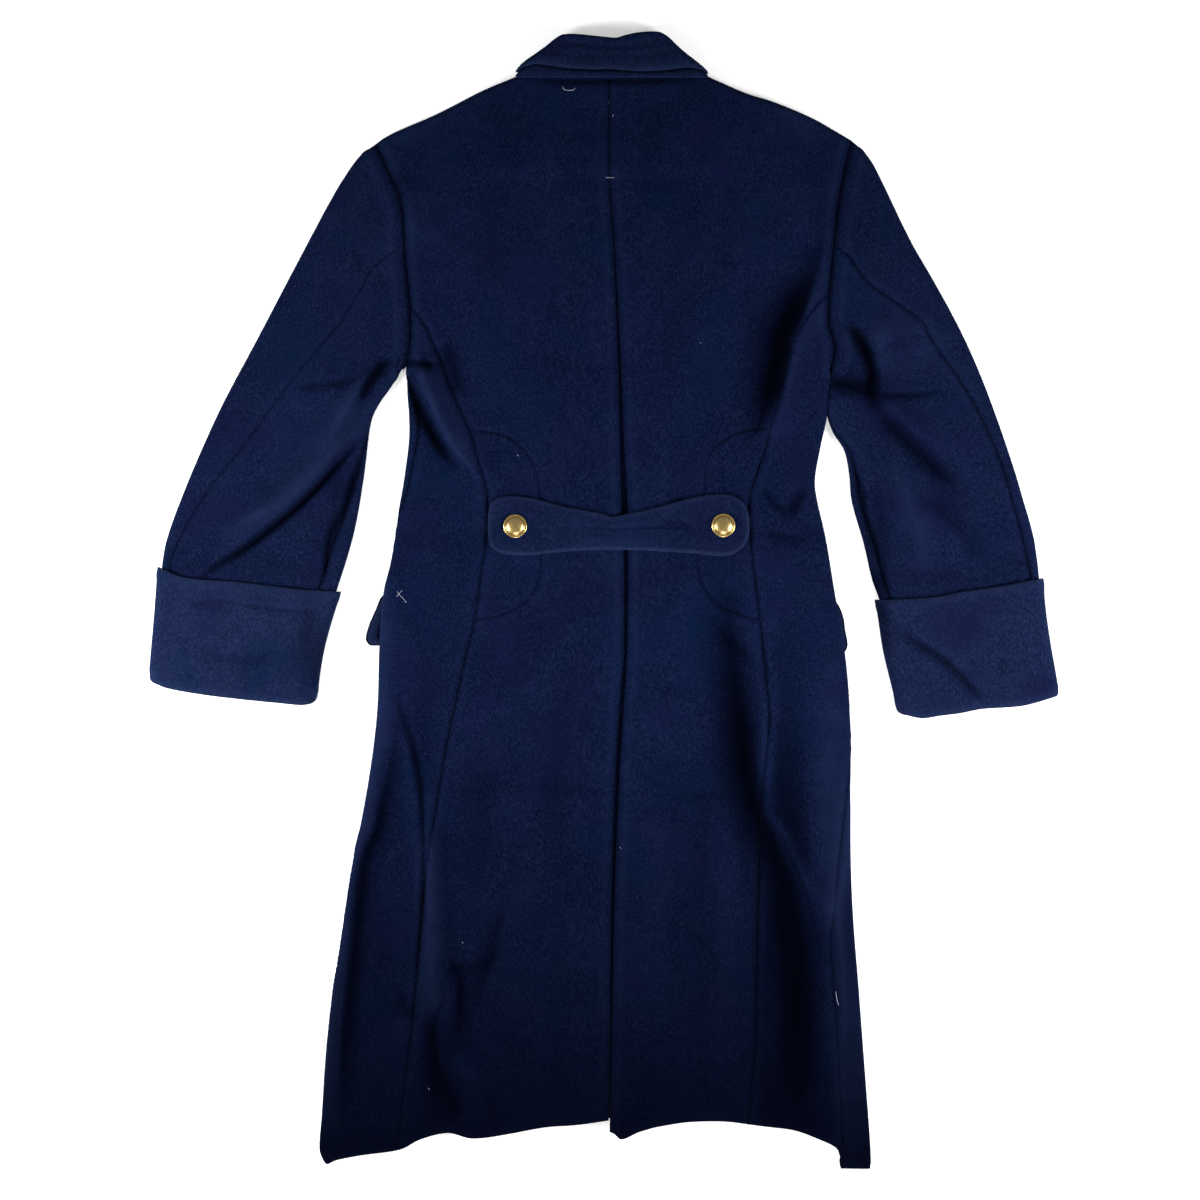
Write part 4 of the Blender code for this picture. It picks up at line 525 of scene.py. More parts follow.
def unrolled(line, lines):
    """A curve drawn on the laid coat, moved to where its points lie on the flat cut."""
    line = np.asarray(line, float)
    deep, out, counts = edge_of(line, lines)
    near = deep < ROLL
    deep = np.maximum(deep, 0)
    curved = ARC * np.arccos(np.clip(1 - deep / ROLL, 0, 1)) / (pi / 2)
    move = np.where(near, (SLACK + deep - curved) * counts, 0.0)
    return line + out * move[:, None]


def roll_up(p, up, lines):
    """Where the points of a flat cut lie: plan point, rest (1 on the outermost edge, 0 away from it), sheet, out."""
    inward, out, counts = edge_of(p, lines)
    w = np.where(counts < 0.999, np.maximum(inward + SLACK, 0), inward + SLACK)
    near = (w < ARC) & (counts > 0)
    depth = np.where(near, reach(w), ROLL)
    move = np.where(near, (inward - depth) * counts, 0.0)
    plan = p + out * move[:, None]
    return plan, np.where(near, (1 - depth / ROLL) * counts, 0.0), np.where(near & (w < 0), -up, up), out


def laid(p, up, lines, sign, cover, lift, dip):
    """3-D points in the coat's frame of flat points p, and their painted light and shade; dip lowers them into the
    cloth.
    """
    plan, rest, sheet, out = roll_up(p, up, lines)
    x, y = plan[:, 0] * sign, plan[:, 1]
    inside = 0.0 if cover is None else cover(plan)
    over, under = heights(x, y, inside)
    middle, half = (over + under) / 2, (over - under) / 2
    round_off = np.sqrt(np.clip(1 - rest**2, 0, 1))
    z = middle + sheet * half * round_off
    normal = np.column_stack([out * (half * rest / ROLL)[:, None], sheet * round_off])
    normal /= np.maximum(np.linalg.norm(normal, axis=1), 1e-6)[:, None]
    on_top = np.where(sheet > 0, round_off, 0.0)
    where = "body" if lines[1][1] > 0 else "sleeve"         # the two differ in the turn of their second edge
    creases = on_top * CREASE_DEPTH * sum_of(CREASE_LINES[where], x, y, CREASE_SHARP)
    creases *= CUFF_CREASES if lift else 1.0
    out = lift + creases + on_top * rumple(x, y, sign) - np.minimum(dip, 0)
    made = np.column_stack([plan, z]) + normal * out[:, None]
    made[:, 2] -= sheet * round_off * np.maximum(dip, 0)
    deep = (made[:, 2] < DEEPEST + FLOOR_EASE) & (on_top > 0.95)
    made[deep, 2] = DEEPEST + FLOOR_EASE * np.exp((made[deep, 2] - DEEPEST - FLOOR_EASE) / FLOOR_EASE)
    made[:, 2] = np.maximum(made[:, 2], 0.0)
    # Painted light and shade for the colour: pale on the ridges of the creases and big folds, dark in their hollows,
    # plus the painted patches
    wear_and_painted_light = (0.2 * on_top * sum_of(FOLD_LINES, x, y) * (1 - inside) + painted_light_at(x, y)) * np.clip(1 + creases / 2, 0, 1)
    return made * [sign, 1, 1], 1.2 * creases + wear_and_painted_light


# How cloth lies beside each kind of cut: depth and width of the dip, and the ridge that its turning makes beyond
CLOSED = ("seam", "soft", "proud", "deep")     # cuts that are sewn to a neighbour
LEAN = 2.4              # how far the rim of such a cut leans under the neighbour
RINGS = (0.9, 2.0)      # rows of points beside every cut, for the dip's shape
EDGE_FORMS = {"seam": (1.8, 1.5, 0.5), "soft": (1.3, 1.2, 0.2), "deep": (3.0, 4.0, 0.9), "proud": (2.2, 1.9, 1.1),
              "hem": (1.3, 1.6, 0.5), "pleat": (1.6, 2.0, 0.7)}


def inside_of(p, loop):
    crossings = np.zeros(len(p), bool)
    for a, b in zip(loop, np.roll(loop, -1, 0)):
        if a[1] == b[1]:
            continue
        crossing = (b[0] - a[0]) * (p[:, 1] - a[1]) / (b[1] - a[1]) + a[0]
        crossings ^= ((a[1] > p[:, 1]) != (b[1] > p[:, 1])) & (p[:, 0] < crossing)
    return crossings


def resample(curve, step):
    size = lengths(curve)[-1]
    return evenly(curve, max(2, int(round(size / step))))


def fill(curves, step):
    """Points and triangles inside a closed outline of (curve, kind), how far each point is from an edge, its dip."""
    loop, cuts = [], []
    for curve, kind in curves:
        line = np.asarray(curve, float) if kind == "turn" else resample(np.asarray(curve, float), step * 0.9)
        loop.append(line[:-1])
        if kind != "turn":
            cuts.append((line, kind))
    loop = np.vstack(loop)
    keep = np.linalg.norm(loop - np.roll(loop, 1, 0), axis=1) > 0.05
    loop = loop[keep]
    low, high = loop.min(0), loop.max(0)
    rows = []
    for j, y in enumerate(np.arange(low[1], high[1], step * 0.866)):
        xs = np.arange(low[0] + (j % 2) * step / 2, high[0], step)
        rows.append(np.column_stack([xs, np.full(len(xs), y)]))
    grid = np.vstack(rows)
    grid = grid[inside_of(grid, loop)]
    closed = np.vstack([loop, loop[:1]])
    grid = grid[nearest(grid, closed)[0] > step * 0.8]
    rings = [loop]
    for inset in RINGS:
        if inset < step * 0.75:
            d = np.roll(loop, -1, 0) - np.roll(loop, 1, 0)
            n = np.column_stack([-d[:, 1], d[:, 0]]) / np.maximum(np.linalg.norm(d, axis=1), 1e-6)[:, None]
            area = np.sum(loop[:, 0] * np.roll(loop[:, 1], -1) - loop[:, 1] * np.roll(loop[:, 0], -1))
            ring = loop + n * inset * np.sign(area)
            ok = inside_of(ring, loop) & (nearest(ring, closed)[0] > inset * 0.8)
            rings.append(ring[ok])
    vertices = np.vstack(rings + [grid])
    count = len(loop)
    edges = [(i, (i + 1) % count) for i in range(count)]
    made = delaunay_2d_cdt([Vector(v) for v in vertices], edges, [], 1, 1e-4)
    flat = np.array([tuple(v) for v in made[0]])
    away = np.full(len(flat), 1e3)
    dip = np.zeros(len(flat))
    proud = np.zeros(len(flat))
    lean = np.zeros(len(flat))
    for cut, kind in cuts:
        from_cut = nearest(flat, cut)[0]
        lean[(from_cut < 0.1) & (kind in CLOSED)] = 1.0
        away = np.minimum(away, from_cut)
        depth, width, ridge = EDGE_FORMS[kind]
        dip = np.maximum(dip, depth * swell(from_cut, 0, width, 1.3))
        proud = np.maximum(proud, ridge * swell(from_cut, 3.2 * width + 2, 4.5))
    return flat, made[2], away, dip - proud, lean


def piece_of(bm, name, look, at=CENTRE):
    """The object of a finished bmesh, at a place in millimetres."""
    mesh = bpy.data.meshes.new(name)
    bm.to_mesh(mesh)
    bm.free()
    mesh.shade_smooth()
    mesh.materials.append(look)
    piece = bpy.data.objects.new(name, mesh)
    bpy.context.scene.collection.objects.link(piece)
    piece.location = Vector(at) * MM
    return piece


def make(name, sections, look, rim=RIM):
    """One object from sections of (3-D points, triangles, flat points, away); its cut edges are turned in."""
    bm = bmesh.new()
    uv = bm.loops.layers.uv.new("cloth")
    wear = bm.verts.layers.float.new("wear")
    # Painted light and shade, which the wool's colour reads
    light_and_shade = bm.verts.layers.float.new("light_and_shade")
    under = bm.verts.layers.float.new("under")
    at = {}
    for xyz, triangles, flat, away, rise, *lean in sections:
        verts = []
        for p, q, w, r, n in zip(xyz, flat, away, rise, lean[0] if lean else 0 * away):
            v = bm.verts.new(p * MM)
            v[wear] = float(np.exp(-w / 3.5))
            v[light_and_shade] = float(r)
            v[under] = float(n)
            at[v] = q
            verts.append(v)
        for triangle in triangles:
            corners = [verts[i] for i in triangle]
            try:
                made = bm.faces.new(corners)
            except ValueError:
                continue
            for loop in made.loops:
                loop[uv].uv = at[loop.vert] * MM
    bmesh.ops.remove_doubles(bm, verts=bm.verts, dist=MERGE * MM)
    bmesh.ops.recalc_face_normals(bm, faces=bm.faces)
    total = sum(f.normal.z * f.calc_area() * (1 if f.calc_center_median().z > 0.006 else -1) for f in bm.faces)
    if total < 0:
        bmesh.ops.reverse_faces(bm, faces=bm.faces)
    bm.normal_update()
    if rim:
        edges = [e for e in bm.edges if len(e.link_faces) == 1]
        normals = {v: v.normal.copy() for e in edges for v in e.verts}
        outward = {}
        for v in normals:
            inward = sum((f.calc_center_median() for f in v.link_faces), Vector()) / len(v.link_faces) - v.co
            outward[v] = -inward.normalized() * v[under] * LEAN
        grown = bmesh.ops.extrude_edge_only(bm, edges=edges)["geom"]
        fresh = [g for g in grown if isinstance(g, bmesh.types.BMVert)]
        for v in fresh:
            old = next(e.other_vert(v) for e in v.link_edges if e.other_vert(v) in normals)
            v.co += (outward[old] - normals[old] * rim) * MM
        for v in fresh:
            v.co.z = max(v.co.z, 0.0)
    return piece_of(bm, name, look)


def flat_area(curves):
    loop = np.vstack([np.asarray(c, float) for c, _ in curves])
    nxt = np.roll(loop, -1, 0)
    return abs(np.sum(loop[:, 0] * nxt[:, 1] - loop[:, 1] * nxt[:, 0])) / 2 * MM**2


# ---------------------------------------------------------------- the pieces of one half

UNDER_STEP = 6.0        # size of the triangles on the bottom sheet
HEM_LOW = -590          # where the side line turns into the hem
LAP_SPAN = (480, 450)   # the upper front is raised below these heights
FRONT_SHORTER = 5       # how far the fronts' hem lies above the back's


class Cut:
    """The curves of one half, mirrored so that x is negative towards the sleeve."""

    def __init__(self, half):
        self.half = half
        self.sign = half.sign
        for field in ("shoulder", "outer", "inner", "side", "armhole", "seam", "half_moon", "hem", "elbow",
                      "cuff_top", "cuff_end"):
            setattr(self, field, smooth([(half.sign * p.x, p.y) for p in getattr(half, field)]))
        self.elbow_kind = "soft" if half.sign > 0 else "seam"
        self.centre = smooth(CENTRE_BACK) * [half.sign, 1]
        upper = np.vstack([self.shoulder, self.outer[1:]])
        self.body = ((upper, 1), (self.side, 1))
        self.sleeve = ((upper, 1), (self.inner, -1))
        self.armhole[0], self.armhole[-1] = upper[len(self.shoulder) - 1], self.side[0]
        join = self.seam[0, 1] + 25
        top = [x_at(self.armhole, join), join]
        self.seam = np.vstack([smooth([top, self.seam[0], self.seam[3]])[:-1], self.seam[3:]])
        self.arm_back = unrolled(between(self.armhole, self.armhole[0, 1], join), self.body)
        self.arm_side = unrolled(between(self.armhole, join, self.armhole[-1, 1]), self.body)
        self.arm_front = unrolled(self.armhole, self.body)
        low = y_at(self.hem, x_at(self.side, HEM_LOW) + 5)
        self.side = between(self.side, self.side[0, 1], low)
        self.moon_top, self.moon_end = self.half_moon[0, 1], self.half_moon[-1, 1]

    def to_hem(self, line):
        """How many points of a falling line lie above the hem, and the line ended on it."""
        above = line[:, 1] - y_at(self.hem, line[:, 0])
        count = int(np.argmax(above < 0)) if (above < 0).any() else len(line)
        if count == len(line):
            return count, line
        share = above[count - 1] / (above[count - 1] - above[count])
        return count, np.vstack([line[:count], line[count - 1] + (line[count] - line[count - 1]) * share])

    def side_at(self, w):
        """The side line on the flat cut, w millimetres of cloth in from the outermost edge."""
        return offset(self.side, w - SLACK)

    def end_on_hem(self, line):
        """Where a falling line meets the hem."""
        y = y_at(self.hem, line[-1, 0])
        return [x_at(line, y), y]

    def hem_between(self, a, b):
        """The hem line from the x of point a to that of point b, through both."""
        xs = np.linspace(a[0], b[0], max(3, int(abs(b[0] - a[0]) / 1.5)))
        ys = y_at(self.hem, xs)
        ys[0], ys[-1] = a[1], b[1]
        return np.column_stack([xs, ys])


def closed_piece(name, parts, lines, c, step, look, cover=None, lift=0.0, rim=RIM, raise_by=None):
    """A piece from outlines on the top (1) and the bottom (-1) sheet, its flat area and its flat points."""
    sections, area, box = [], 0.0, []
    for up, curves in parts:
        flat, triangles, away, dip, lean = fill(curves, step if up > 0 else max(step, UNDER_STEP))
        xyz, light_and_shade = laid(flat, up, lines, c.sign, cover, lift, dip)
        if raise_by:
            xyz[:, 2] += raise_by(flat)
        # The seams' grooves get painted shade and the ridges beside them painted light
        sections.append((xyz, triangles, flat * [c.sign, 1], away, light_and_shade - 2 * dip * (up > 0), lean))
        area += flat_area(curves)
        box.append(flat)
    piece = make(name, sections, look, rim)
    return piece, area, np.vstack(box)


def back(c, look, step):
    centre = c.centre.copy()
    centre[:, 0] -= from_table(PLEAT, centre[:, 1]) / 2
    bottom = c.end_on_hem(centre)
    centre = np.vstack([centre[centre[:, 1] > bottom[1]], [bottom]])
    seam_end = c.end_on_hem(c.seam)
    seam_low = np.vstack([between(c.seam, c.moon_end, seam_end[1] + 0.5), [seam_end]])
    curves = [
        (offset(c.shoulder, -SLACK + SEAM_HALF), "seam"),
        (c.arm_back, "proud"),
        (between(c.seam, c.seam[0, 1], c.moon_top), "seam"),
        (c.half_moon, "soft"),
        (seam_low, "seam"),
        (c.hem_between(seam_low[-1], centre[-1]), "hem"),
        (between(centre, BAR_TACK[1], centre[-1, 1])[::-1], "pleat"),
        (between(centre, centre[0, 1], BAR_TACK[1])[::-1], "seam"),
        (np.array([centre[0], c.shoulder[0]]), "soft"),
    ]
    return closed_piece(f"back_{c.half.name}_cloth", [(1, curves)], c.body, c, step, look)


def half_moon(c, look, step):
    curves = [(between(c.seam, c.moon_top, c.moon_end), "seam"), (c.half_moon[::-1], "soft")]
    return closed_piece(f"half_moon_{c.half.name}_cloth", [(1, curves)], c.body, c, step, look)


def side_back(c, look, step):
    hang = from_table(c.half.hang, c.side[:, 1])
    count, edge = c.to_hem(c.side_at(np.maximum(hang, 0)))
    seam_end = c.end_on_hem(c.seam)
    seam = np.vstack([between(c.seam, c.seam[0, 1], seam_end[1] + 0.5), [seam_end]])
    top = [(c.arm_side, "proud")]
    top += split(edge, hang[:len(edge)], "turn", "seam")
    top += [(c.hem_between(edge[-1], seam[-1]), "hem"), (seam[::-1], "seam")]
    parts = [(1, top)]
    parts += [(-1, strip) for strip in strips(c, -hang, True)]
    return closed_piece(f"side_back_{c.half.name}_cloth", parts, c.body, c, step, look)


def split(edge, hang, where_negative, where_positive):
    """The side line in stretches, by whether the seam lies on this sheet or the cloth turns under."""
    stretches, start = [], 0
    flags = hang < -0.01
    for i in range(1, len(edge)):
        if flags[i] != flags[start] or i == len(edge) - 1:
            stretches.append((edge[start:i + 1], where_negative if flags[start] else where_positive))
            start = i
    return stretches


def strips(c, w, hemmed=False):
    """Outlines on the other sheet between the outermost edge and a seam that lies w in from it."""
    made, start = [], None
    positive = w > 0.6
    for i in range(len(w) + 1):
        on = i < len(w) and positive[i]
        if on and start is None:
            start = i
        if not on and start is not None:
            a, b = max(start - 1, 0), min(i + 1, len(w))
            edge = offset(c.side, -SLACK)[a:b]
            seam = offset(c.side, np.maximum(w, 0.0) - SLACK)[a:b]
            if hemmed:
                edge, seam = c.to_hem(edge)[1], c.to_hem(seam)[1]
            if b - a > 3:
                end = [(np.array([edge[-1], seam[-1]]), "hem")] if np.linalg.norm(edge[-1] - seam[-1]) > 0.3 else []
                made.append([(edge, "turn")] + end + [(seam[::-1], "seam")])
            start = None
    return made


FRONT_NECK = points(-64, 519, -3, 497)
FRONT_EDGE = points(-3, 497, -3, 432, 6, 418, 45, 398, LAP, 375, LAP, 0, LAP, -540)
LAP_STEP = (-LAP - 30, -LAP - 4)


def front(c, look, step):
    hang = from_table(c.half.hang, c.side[:, 1])
    edge = c.side_at(np.maximum(-hang, 0))
    if c.sign > 0:
        edge = c.to_hem(edge - [0, FRONT_SHORTER])[1] + [0, FRONT_SHORTER]
    free = smooth(FRONT_EDGE)
    neck = np.array([c.shoulder[0], *FRONT_NECK])
    xs = np.linspace(edge[-1, 0], 0, 60)
    hem = np.column_stack([xs, y_at(c.hem, xs) + FRONT_SHORTER])
    hem[:, 1] = np.where(xs > -30, np.maximum(hem[:, 1], -547), hem[:, 1])
    hem[0] = edge[-1]
    bottom = [(offset(c.shoulder, -SLACK + SEAM_HALF), "seam"), (c.arm_front, "seam")]
    bottom += split(edge, -hang[:len(edge)], "turn", "seam")
    bottom += [(np.vstack([hem, free[-1:]]), "hem"), (free[::-1], "hem"), (neck[::-1], "seam")]
    parts = [(-1, bottom)] + [(1, strip) for strip in strips(c, hang)]

    def lap(p):
        if c.sign > 0:
            return 0.0
        return ramp(p[:, 0], *LAP_STEP) * ramp(p[:, 1], *LAP_SPAN) * LAP_LIFT
    return closed_piece(f"front_{c.half.name}_cloth", parts, c.body, c, step, look, raise_by=lap)


class Arm:
    """One sleeve: v runs down it from the shoulder, t across it towards the body."""

    def __init__(self, c):
        self.c = c
        a, b = [np.array([c.sign * p.x, p.y], float) for p in c.half.axis]
        self.origin, self.down = a, (b - a) / np.linalg.norm(b - a)
        self.across = np.array([-self.down[1], self.down[0]])

    def into(self, plan):
        d = plan - self.origin
        return np.stack([d @ self.down, d @ self.across], axis=-1)

    def plan(self, vt):
        return self.origin + np.multiply.outer(vt[:, 0], self.down) + np.multiply.outer(vt[:, 1], self.across)

    def v_on(self, line, t):
        q = self.into(line)
        order = np.argsort(q[:, 1])
        return np.interp(t, q[order, 1], q[order, 0])

    def cover(self, plan):
        at = self.into(plan)
        top = self.v_on(self.c.cuff_top, at[:, 1])
        return ramp(at[:, 0], top - 36, top - 3)

    def clip(self, line, end, short=0.0):
        """The part of a line that runs down the sleeve, to where it meets the end line, which it ends on."""
        q = self.into(line)
        limit = self.v_on(end, q[:, 1]) - short
        over = np.nonzero(q[:, 0] > limit)[0]
        if not len(over):
            return line
        i = over[0]
        a, b = q[i - 1, 0] - limit[i - 1], q[i, 0] - limit[i]
        t = -a / (b - a)
        return np.vstack([line[:i], line[i - 1] + (line[i] - line[i - 1]) * t])

    def across_at(self, end, a, b, short=0.0):
        """The end line from point a to point b."""
        ta, tb = self.into(np.array([a, b]))[:, 1]
        t = np.linspace(ta, tb, max(4, int(abs(tb - ta) / 4)))
        line = self.plan(np.column_stack([self.v_on(end, t) - short, t]))
        line[0], line[-1] = a, b
        return line


ARM_TOP = 384.0         # height on the armhole where upper and under sleeve meet
SHORT = 2.0             # the sleeve ends this far inside its cuff
CUFF_RIM = 3.4


def sleeve_curves(c, arm):
    """The outer and inner edges and the elbow and forearm seams, each ended inside the cuff."""
    forearm = from_table(c.half.forearm, c.inner[:, 1]) - SLACK
    lines = offset(c.outer, -SLACK), offset(c.inner, -SLACK, -1), c.elbow, offset(c.inner, forearm, -1)
    return [arm.clip(line, c.cuff_end, SHORT) for line in lines]


def sleeve_end(c, arm, a, b):
    return arm.across_at(c.cuff_end, a[-1], b[-1], SHORT), "hem"


def upper_sleeve(c, look, step):
    arm = Arm(c)
    outer, inner, elbow, forearm = sleeve_curves(c, arm)
    shoulder = unrolled(between(c.armhole, c.armhole[0, 1], ARM_TOP), c.sleeve)
    top = [(elbow, c.elbow_kind), sleeve_end(c, arm, elbow, outer), (outer[::-1], "turn"), (shoulder, "deep")]
    under = [(outer, "turn"), sleeve_end(c, arm, outer, inner), (inner[::-1], "turn"),
             (unrolled(c.armhole, c.sleeve)[::-1], "deep")]
    strip = [(inner, "turn"), sleeve_end(c, arm, inner, forearm), (forearm[::-1], "seam")]
    parts = [(1, top), (-1, under), (1, strip)]
    return closed_piece(f"upper_sleeve_{c.half.name}_cloth", parts, c.sleeve, c, step, look, cover=arm.cover)


def under_sleeve(c, look, step):
    arm = Arm(c)
    elbow, forearm = sleeve_curves(c, arm)[2:]
    armhole = unrolled(between(c.armhole, ARM_TOP, c.armhole[-1, 1]), c.sleeve)
    curves = [(elbow, c.elbow_kind), sleeve_end(c, arm, elbow, forearm), (forearm[::-1], "seam"),
              (armhole[::-1], "deep")]
    return closed_piece(f"under_sleeve_{c.half.name}_cloth", [(1, curves)], c.sleeve, c, step, look, cover=arm.cover)


def cuff_edge(c, arm, line):
    """The part of one of the sleeve's edges that the cuff covers."""
    first, last = arm.clip(line, c.cuff_top)[-1:], arm.clip(line, c.cuff_end)[-1:]
    v = arm.into(line)[:, 0]
    return np.vstack([first, line[(v > arm.into(first)[0, 0]) & (v < arm.into(last)[0, 0])], last])


def cuff(c, look, step):
    arm = Arm(c)
    down = cuff_edge(c, arm, offset(c.outer, -SLACK))
    back_up = cuff_edge(c, arm, offset(c.inner, -SLACK, -1))[::-1]
    curves = [(down, "turn"), (arm.across_at(c.cuff_end, down[-1], back_up[0]), "hem"), (back_up, "turn"),
              (arm.across_at(c.cuff_top, back_up[-1], down[0]), "hem")]
    return closed_piece(f"cuff_{c.half.name}_cloth", [(1, curves), (-1, curves)], c.sleeve, c, step, look,
                        cover=lambda plan: 1.0, lift=CUFF_LIFT + CUFF_WALL, rim=CUFF_RIM)


# ---------------------------------------------------------------- collar, belt, buttons, flaps, underlay

COLLAR_ROLL = 9.0       # the collar's ends are rounded like the outermost edges, but higher
COLLAR_ARC = 13.4
COLLAR_HEIGHT = 16.3
FOLD_RADIUS = 3.2
FOLD_CLEAR = 7.0        # how far below the fold the stand starts
FALL_DEPTH = 36         # length of the fall down to its fold
NECK_BACK = 560.2
UNDER_FROM = 0.12       # where the fronts underneath start, as a share of their length
UNDER_GAP = 2.0         # half the gap between the collar's two ends
FALL_FRONT = points(0, 569, 0.35, 545, 0.7, 505, 1, 472)
FOLD_FRONT = points(0, 608, 0.12, 603, 0.4, 577, 0.7, 548, 1, 532)
COLLAR_WAVES = [
    fold(-1.2, 2.5, 3, -62, 595, -40, 596.5, -12, 595, 6, 593, 24, 593.5, 48, 597, 70, 596),
    fold(0.9, 5, 6, -60, 589, -30, 590, 10, 587, 44, 590, 74, 589),
    fold(-0.8, 4, 5, -76, 577, -44, 580, -12, 578, 22, 576, 60, 580, 88, 578),
]


def collar_x(kind, value, y, left, right):
    """The x of one column of the collar at the height y."""
    a, b = x_at(left, y), x_at(right, y)
    if kind == "left":
        return a + reach(value, COLLAR_ROLL, COLLAR_ARC)
    if kind == "right":
        return b - reach(value, COLLAR_ROLL, COLLAR_ARC)
    if kind == "top":
        return a + COLLAR_ROLL + (b - a - 2 * COLLAR_ROLL) * value
    if kind == "under_left":
        return a + COLLAR_ROLL + (-UNDER_GAP - a - COLLAR_ROLL) * value
    return b - COLLAR_ROLL - (b - COLLAR_ROLL - UNDER_GAP) * value


def collar_lines(kind, value, left, right, fold, edge):
    """Heights y of the fold line, the fall's lower edge and the neck seam on one column of the collar."""
    if kind.startswith("under"):
        corner = (LEFT if kind.endswith("left") else RIGHT).shoulder[0]
        neck = np.array([(-abs(corner.x), corner.y)] + FRONT_NECK)
        x = -abs(collar_x(kind, value, 520, left, right))
        return (y_at(smooth(FOLD_FRONT, 0.05), value), y_at(smooth(FALL_FRONT, 0.05), value), y_at(neck, x) + 1.2)
    y_fold, y_edge = 600.0, 569.0
    for _ in range(8):
        y_fold = y_at(fold, collar_x(kind, value, y_fold, left, right))
        y_edge = y_at(edge, collar_x(kind, value, y_edge, left, right))
    return y_fold, y_edge, NECK_BACK


def grid_sections(xyz, flat, away, light_and_shade):
    rows, columns = xyz.shape[:2]
    triangles = []
    for j in range(rows - 1):
        for k in range(columns - 1):
            a, b = j * columns + k, j * columns + k + 1
            triangles += [(a, b, b + columns), (a, b + columns, a + columns)]
    return [(xyz.reshape(-1, 3), triangles, flat.reshape(-1, 2), away.ravel(), light_and_shade.ravel())]


def collar(look, step):
    """The fall with its half-round fold, and the stand behind it."""
    left, right, fold, edge = [smooth(t) for t in (COLLAR_LEFT, COLLAR_RIGHT, FOLD_LINE, FALL_EDGE)]
    waves = traced(COLLAR_WAVES, 6.0)
    turn = np.linspace(-COLLAR_ARC, COLLAR_ARC, 15)
    columns = [("under_left", f) for f in np.linspace(1, UNDER_FROM, 10)]
    columns += [("left", w) for w in turn]
    columns += [("top", f) for f in np.linspace(0, 1, int(170 / step))[1:-1]]
    columns += [("right", w) for w in turn[::-1]]
    columns += [("under_right", f) for f in np.linspace(UNDER_FROM, 1, 10)]
    lines = np.array([collar_lines(kind, value, left, right, fold, edge) for kind, value in columns])
    sheet = np.array([-1 if kind.startswith("under") or (kind in ("left", "right") and value < -1e-6) else 1
                      for kind, value in columns])

    def band(y, depth, wavy):
        rows = len(y)
        made = np.zeros((rows, len(columns), 3))
        normals = np.zeros_like(made)
        for k, (kind, value) in enumerate(columns):
            x = np.array([collar_x(kind, value, v, left, right) for v in y[:, k]])
            inward, out = COLLAR_ROLL, np.zeros((rows, 2))
            if kind in ("left", "right"):
                line, turned = (left, -1) if kind == "left" else (right, 1)
                inward = float(reach(value, COLLAR_ROLL, COLLAR_ARC))
                slope = (x_at(line, y[:, k] + 1) - x_at(line, y[:, k] - 1)) / 2
                out = np.column_stack([np.full(rows, turned), -turned * slope]) / np.hypot(1, slope)[:, None]
            rest = 1 - inward / COLLAR_ROLL
            half, round_off = COLLAR_HEIGHT / 2, np.sqrt(1 - rest**2)
            normal = np.column_stack([out * half * rest / COLLAR_ROLL, np.full(rows, sheet[k] * round_off)])
            normal /= np.linalg.norm(normal, axis=1)[:, None]
            made[:, k] = np.column_stack([x, y[:, k], half + sheet[k] * half * round_off * np.ones(rows)])
            normals[:, k] = normal
        x, y_all = made[..., 0].ravel(), made[..., 1].ravel()
        detail = (wavy * (sum_of(waves, x, y_all) + 0.8 * rumple(x, y_all, 2.0))).reshape(made.shape[:2])
        detail = np.where(sheet[None, :] > 0, detail, 0.0) * np.sqrt(np.clip(1 - (depth / 3.3) ** 2, 0, 1))
        return made + normals * (detail - depth)[..., None]

    steps = max(6, int(FALL_DEPTH / step))
    bend = np.linspace(0, pi, 11)
    centre = lines[:, 0] - FOLD_RADIUS
    share = np.concatenate([[0, 0.03, 0.07], np.linspace(0.12, 1, steps)])[:, None]
    y = np.vstack([lines[:, 1] + (centre - lines[:, 1]) * share, centre + FOLD_RADIUS * np.sin(bend[1:, None])])
    depth = np.concatenate([[0.9, 0.2, 0.0], np.zeros(steps), FOLD_RADIUS * (1 - np.cos(bend[1:]))])[:, None]
    along = np.concatenate([share[:, 0] * FALL_DEPTH, FALL_DEPTH + 10 * np.arange(1, len(bend))])
    along = along[:, None] * np.ones(len(columns))
    depth = depth * np.ones(len(columns))
    run = np.arange(len(columns)) * 3.0
    flat = np.stack([np.broadcast_to(run, y.shape), y], axis=-1)
    # Painted highlight just above the fall's lower edge, painted shade on that edge and faintly higher up
    light_and_shade = 3.2 * swell(along, 4, 2.6) - 1.5 * swell(along, 14, 5.0) - 4.0 * swell(along, 0, 0.9)
    fall = make("collar_fall_cloth", grid_sections(band(y, depth, 1.0), flat, along, light_and_shade), look, rim=WALL)
    y = (centre - FOLD_CLEAR) + (lines[:, 2] - centre + FOLD_CLEAR) * np.linspace(0, 1, 10)[:, None] ** 0.35
    depth = 2 * FOLD_RADIUS - WALL - 0.9 * ramp(-y, -570, -564) * (sheet > 0)
    away = 12 + (np.linspace(1, 0, 10) * 25)[:, None] * np.ones(len(columns))
    flat = np.stack([np.broadcast_to(run, y.shape), y], axis=-1)
    # Painted shadow on the stand under the fall's lower edge, slightly pale elsewhere
    light_and_shade = 1.5 - 8.0 * swell(lines[:, 1], y, 2.6)
    stand = make("collar_stand_cloth", grid_sections(band(y, depth, 0.0), flat, away, light_and_shade), look, rim=2.6)
    return fall, stand


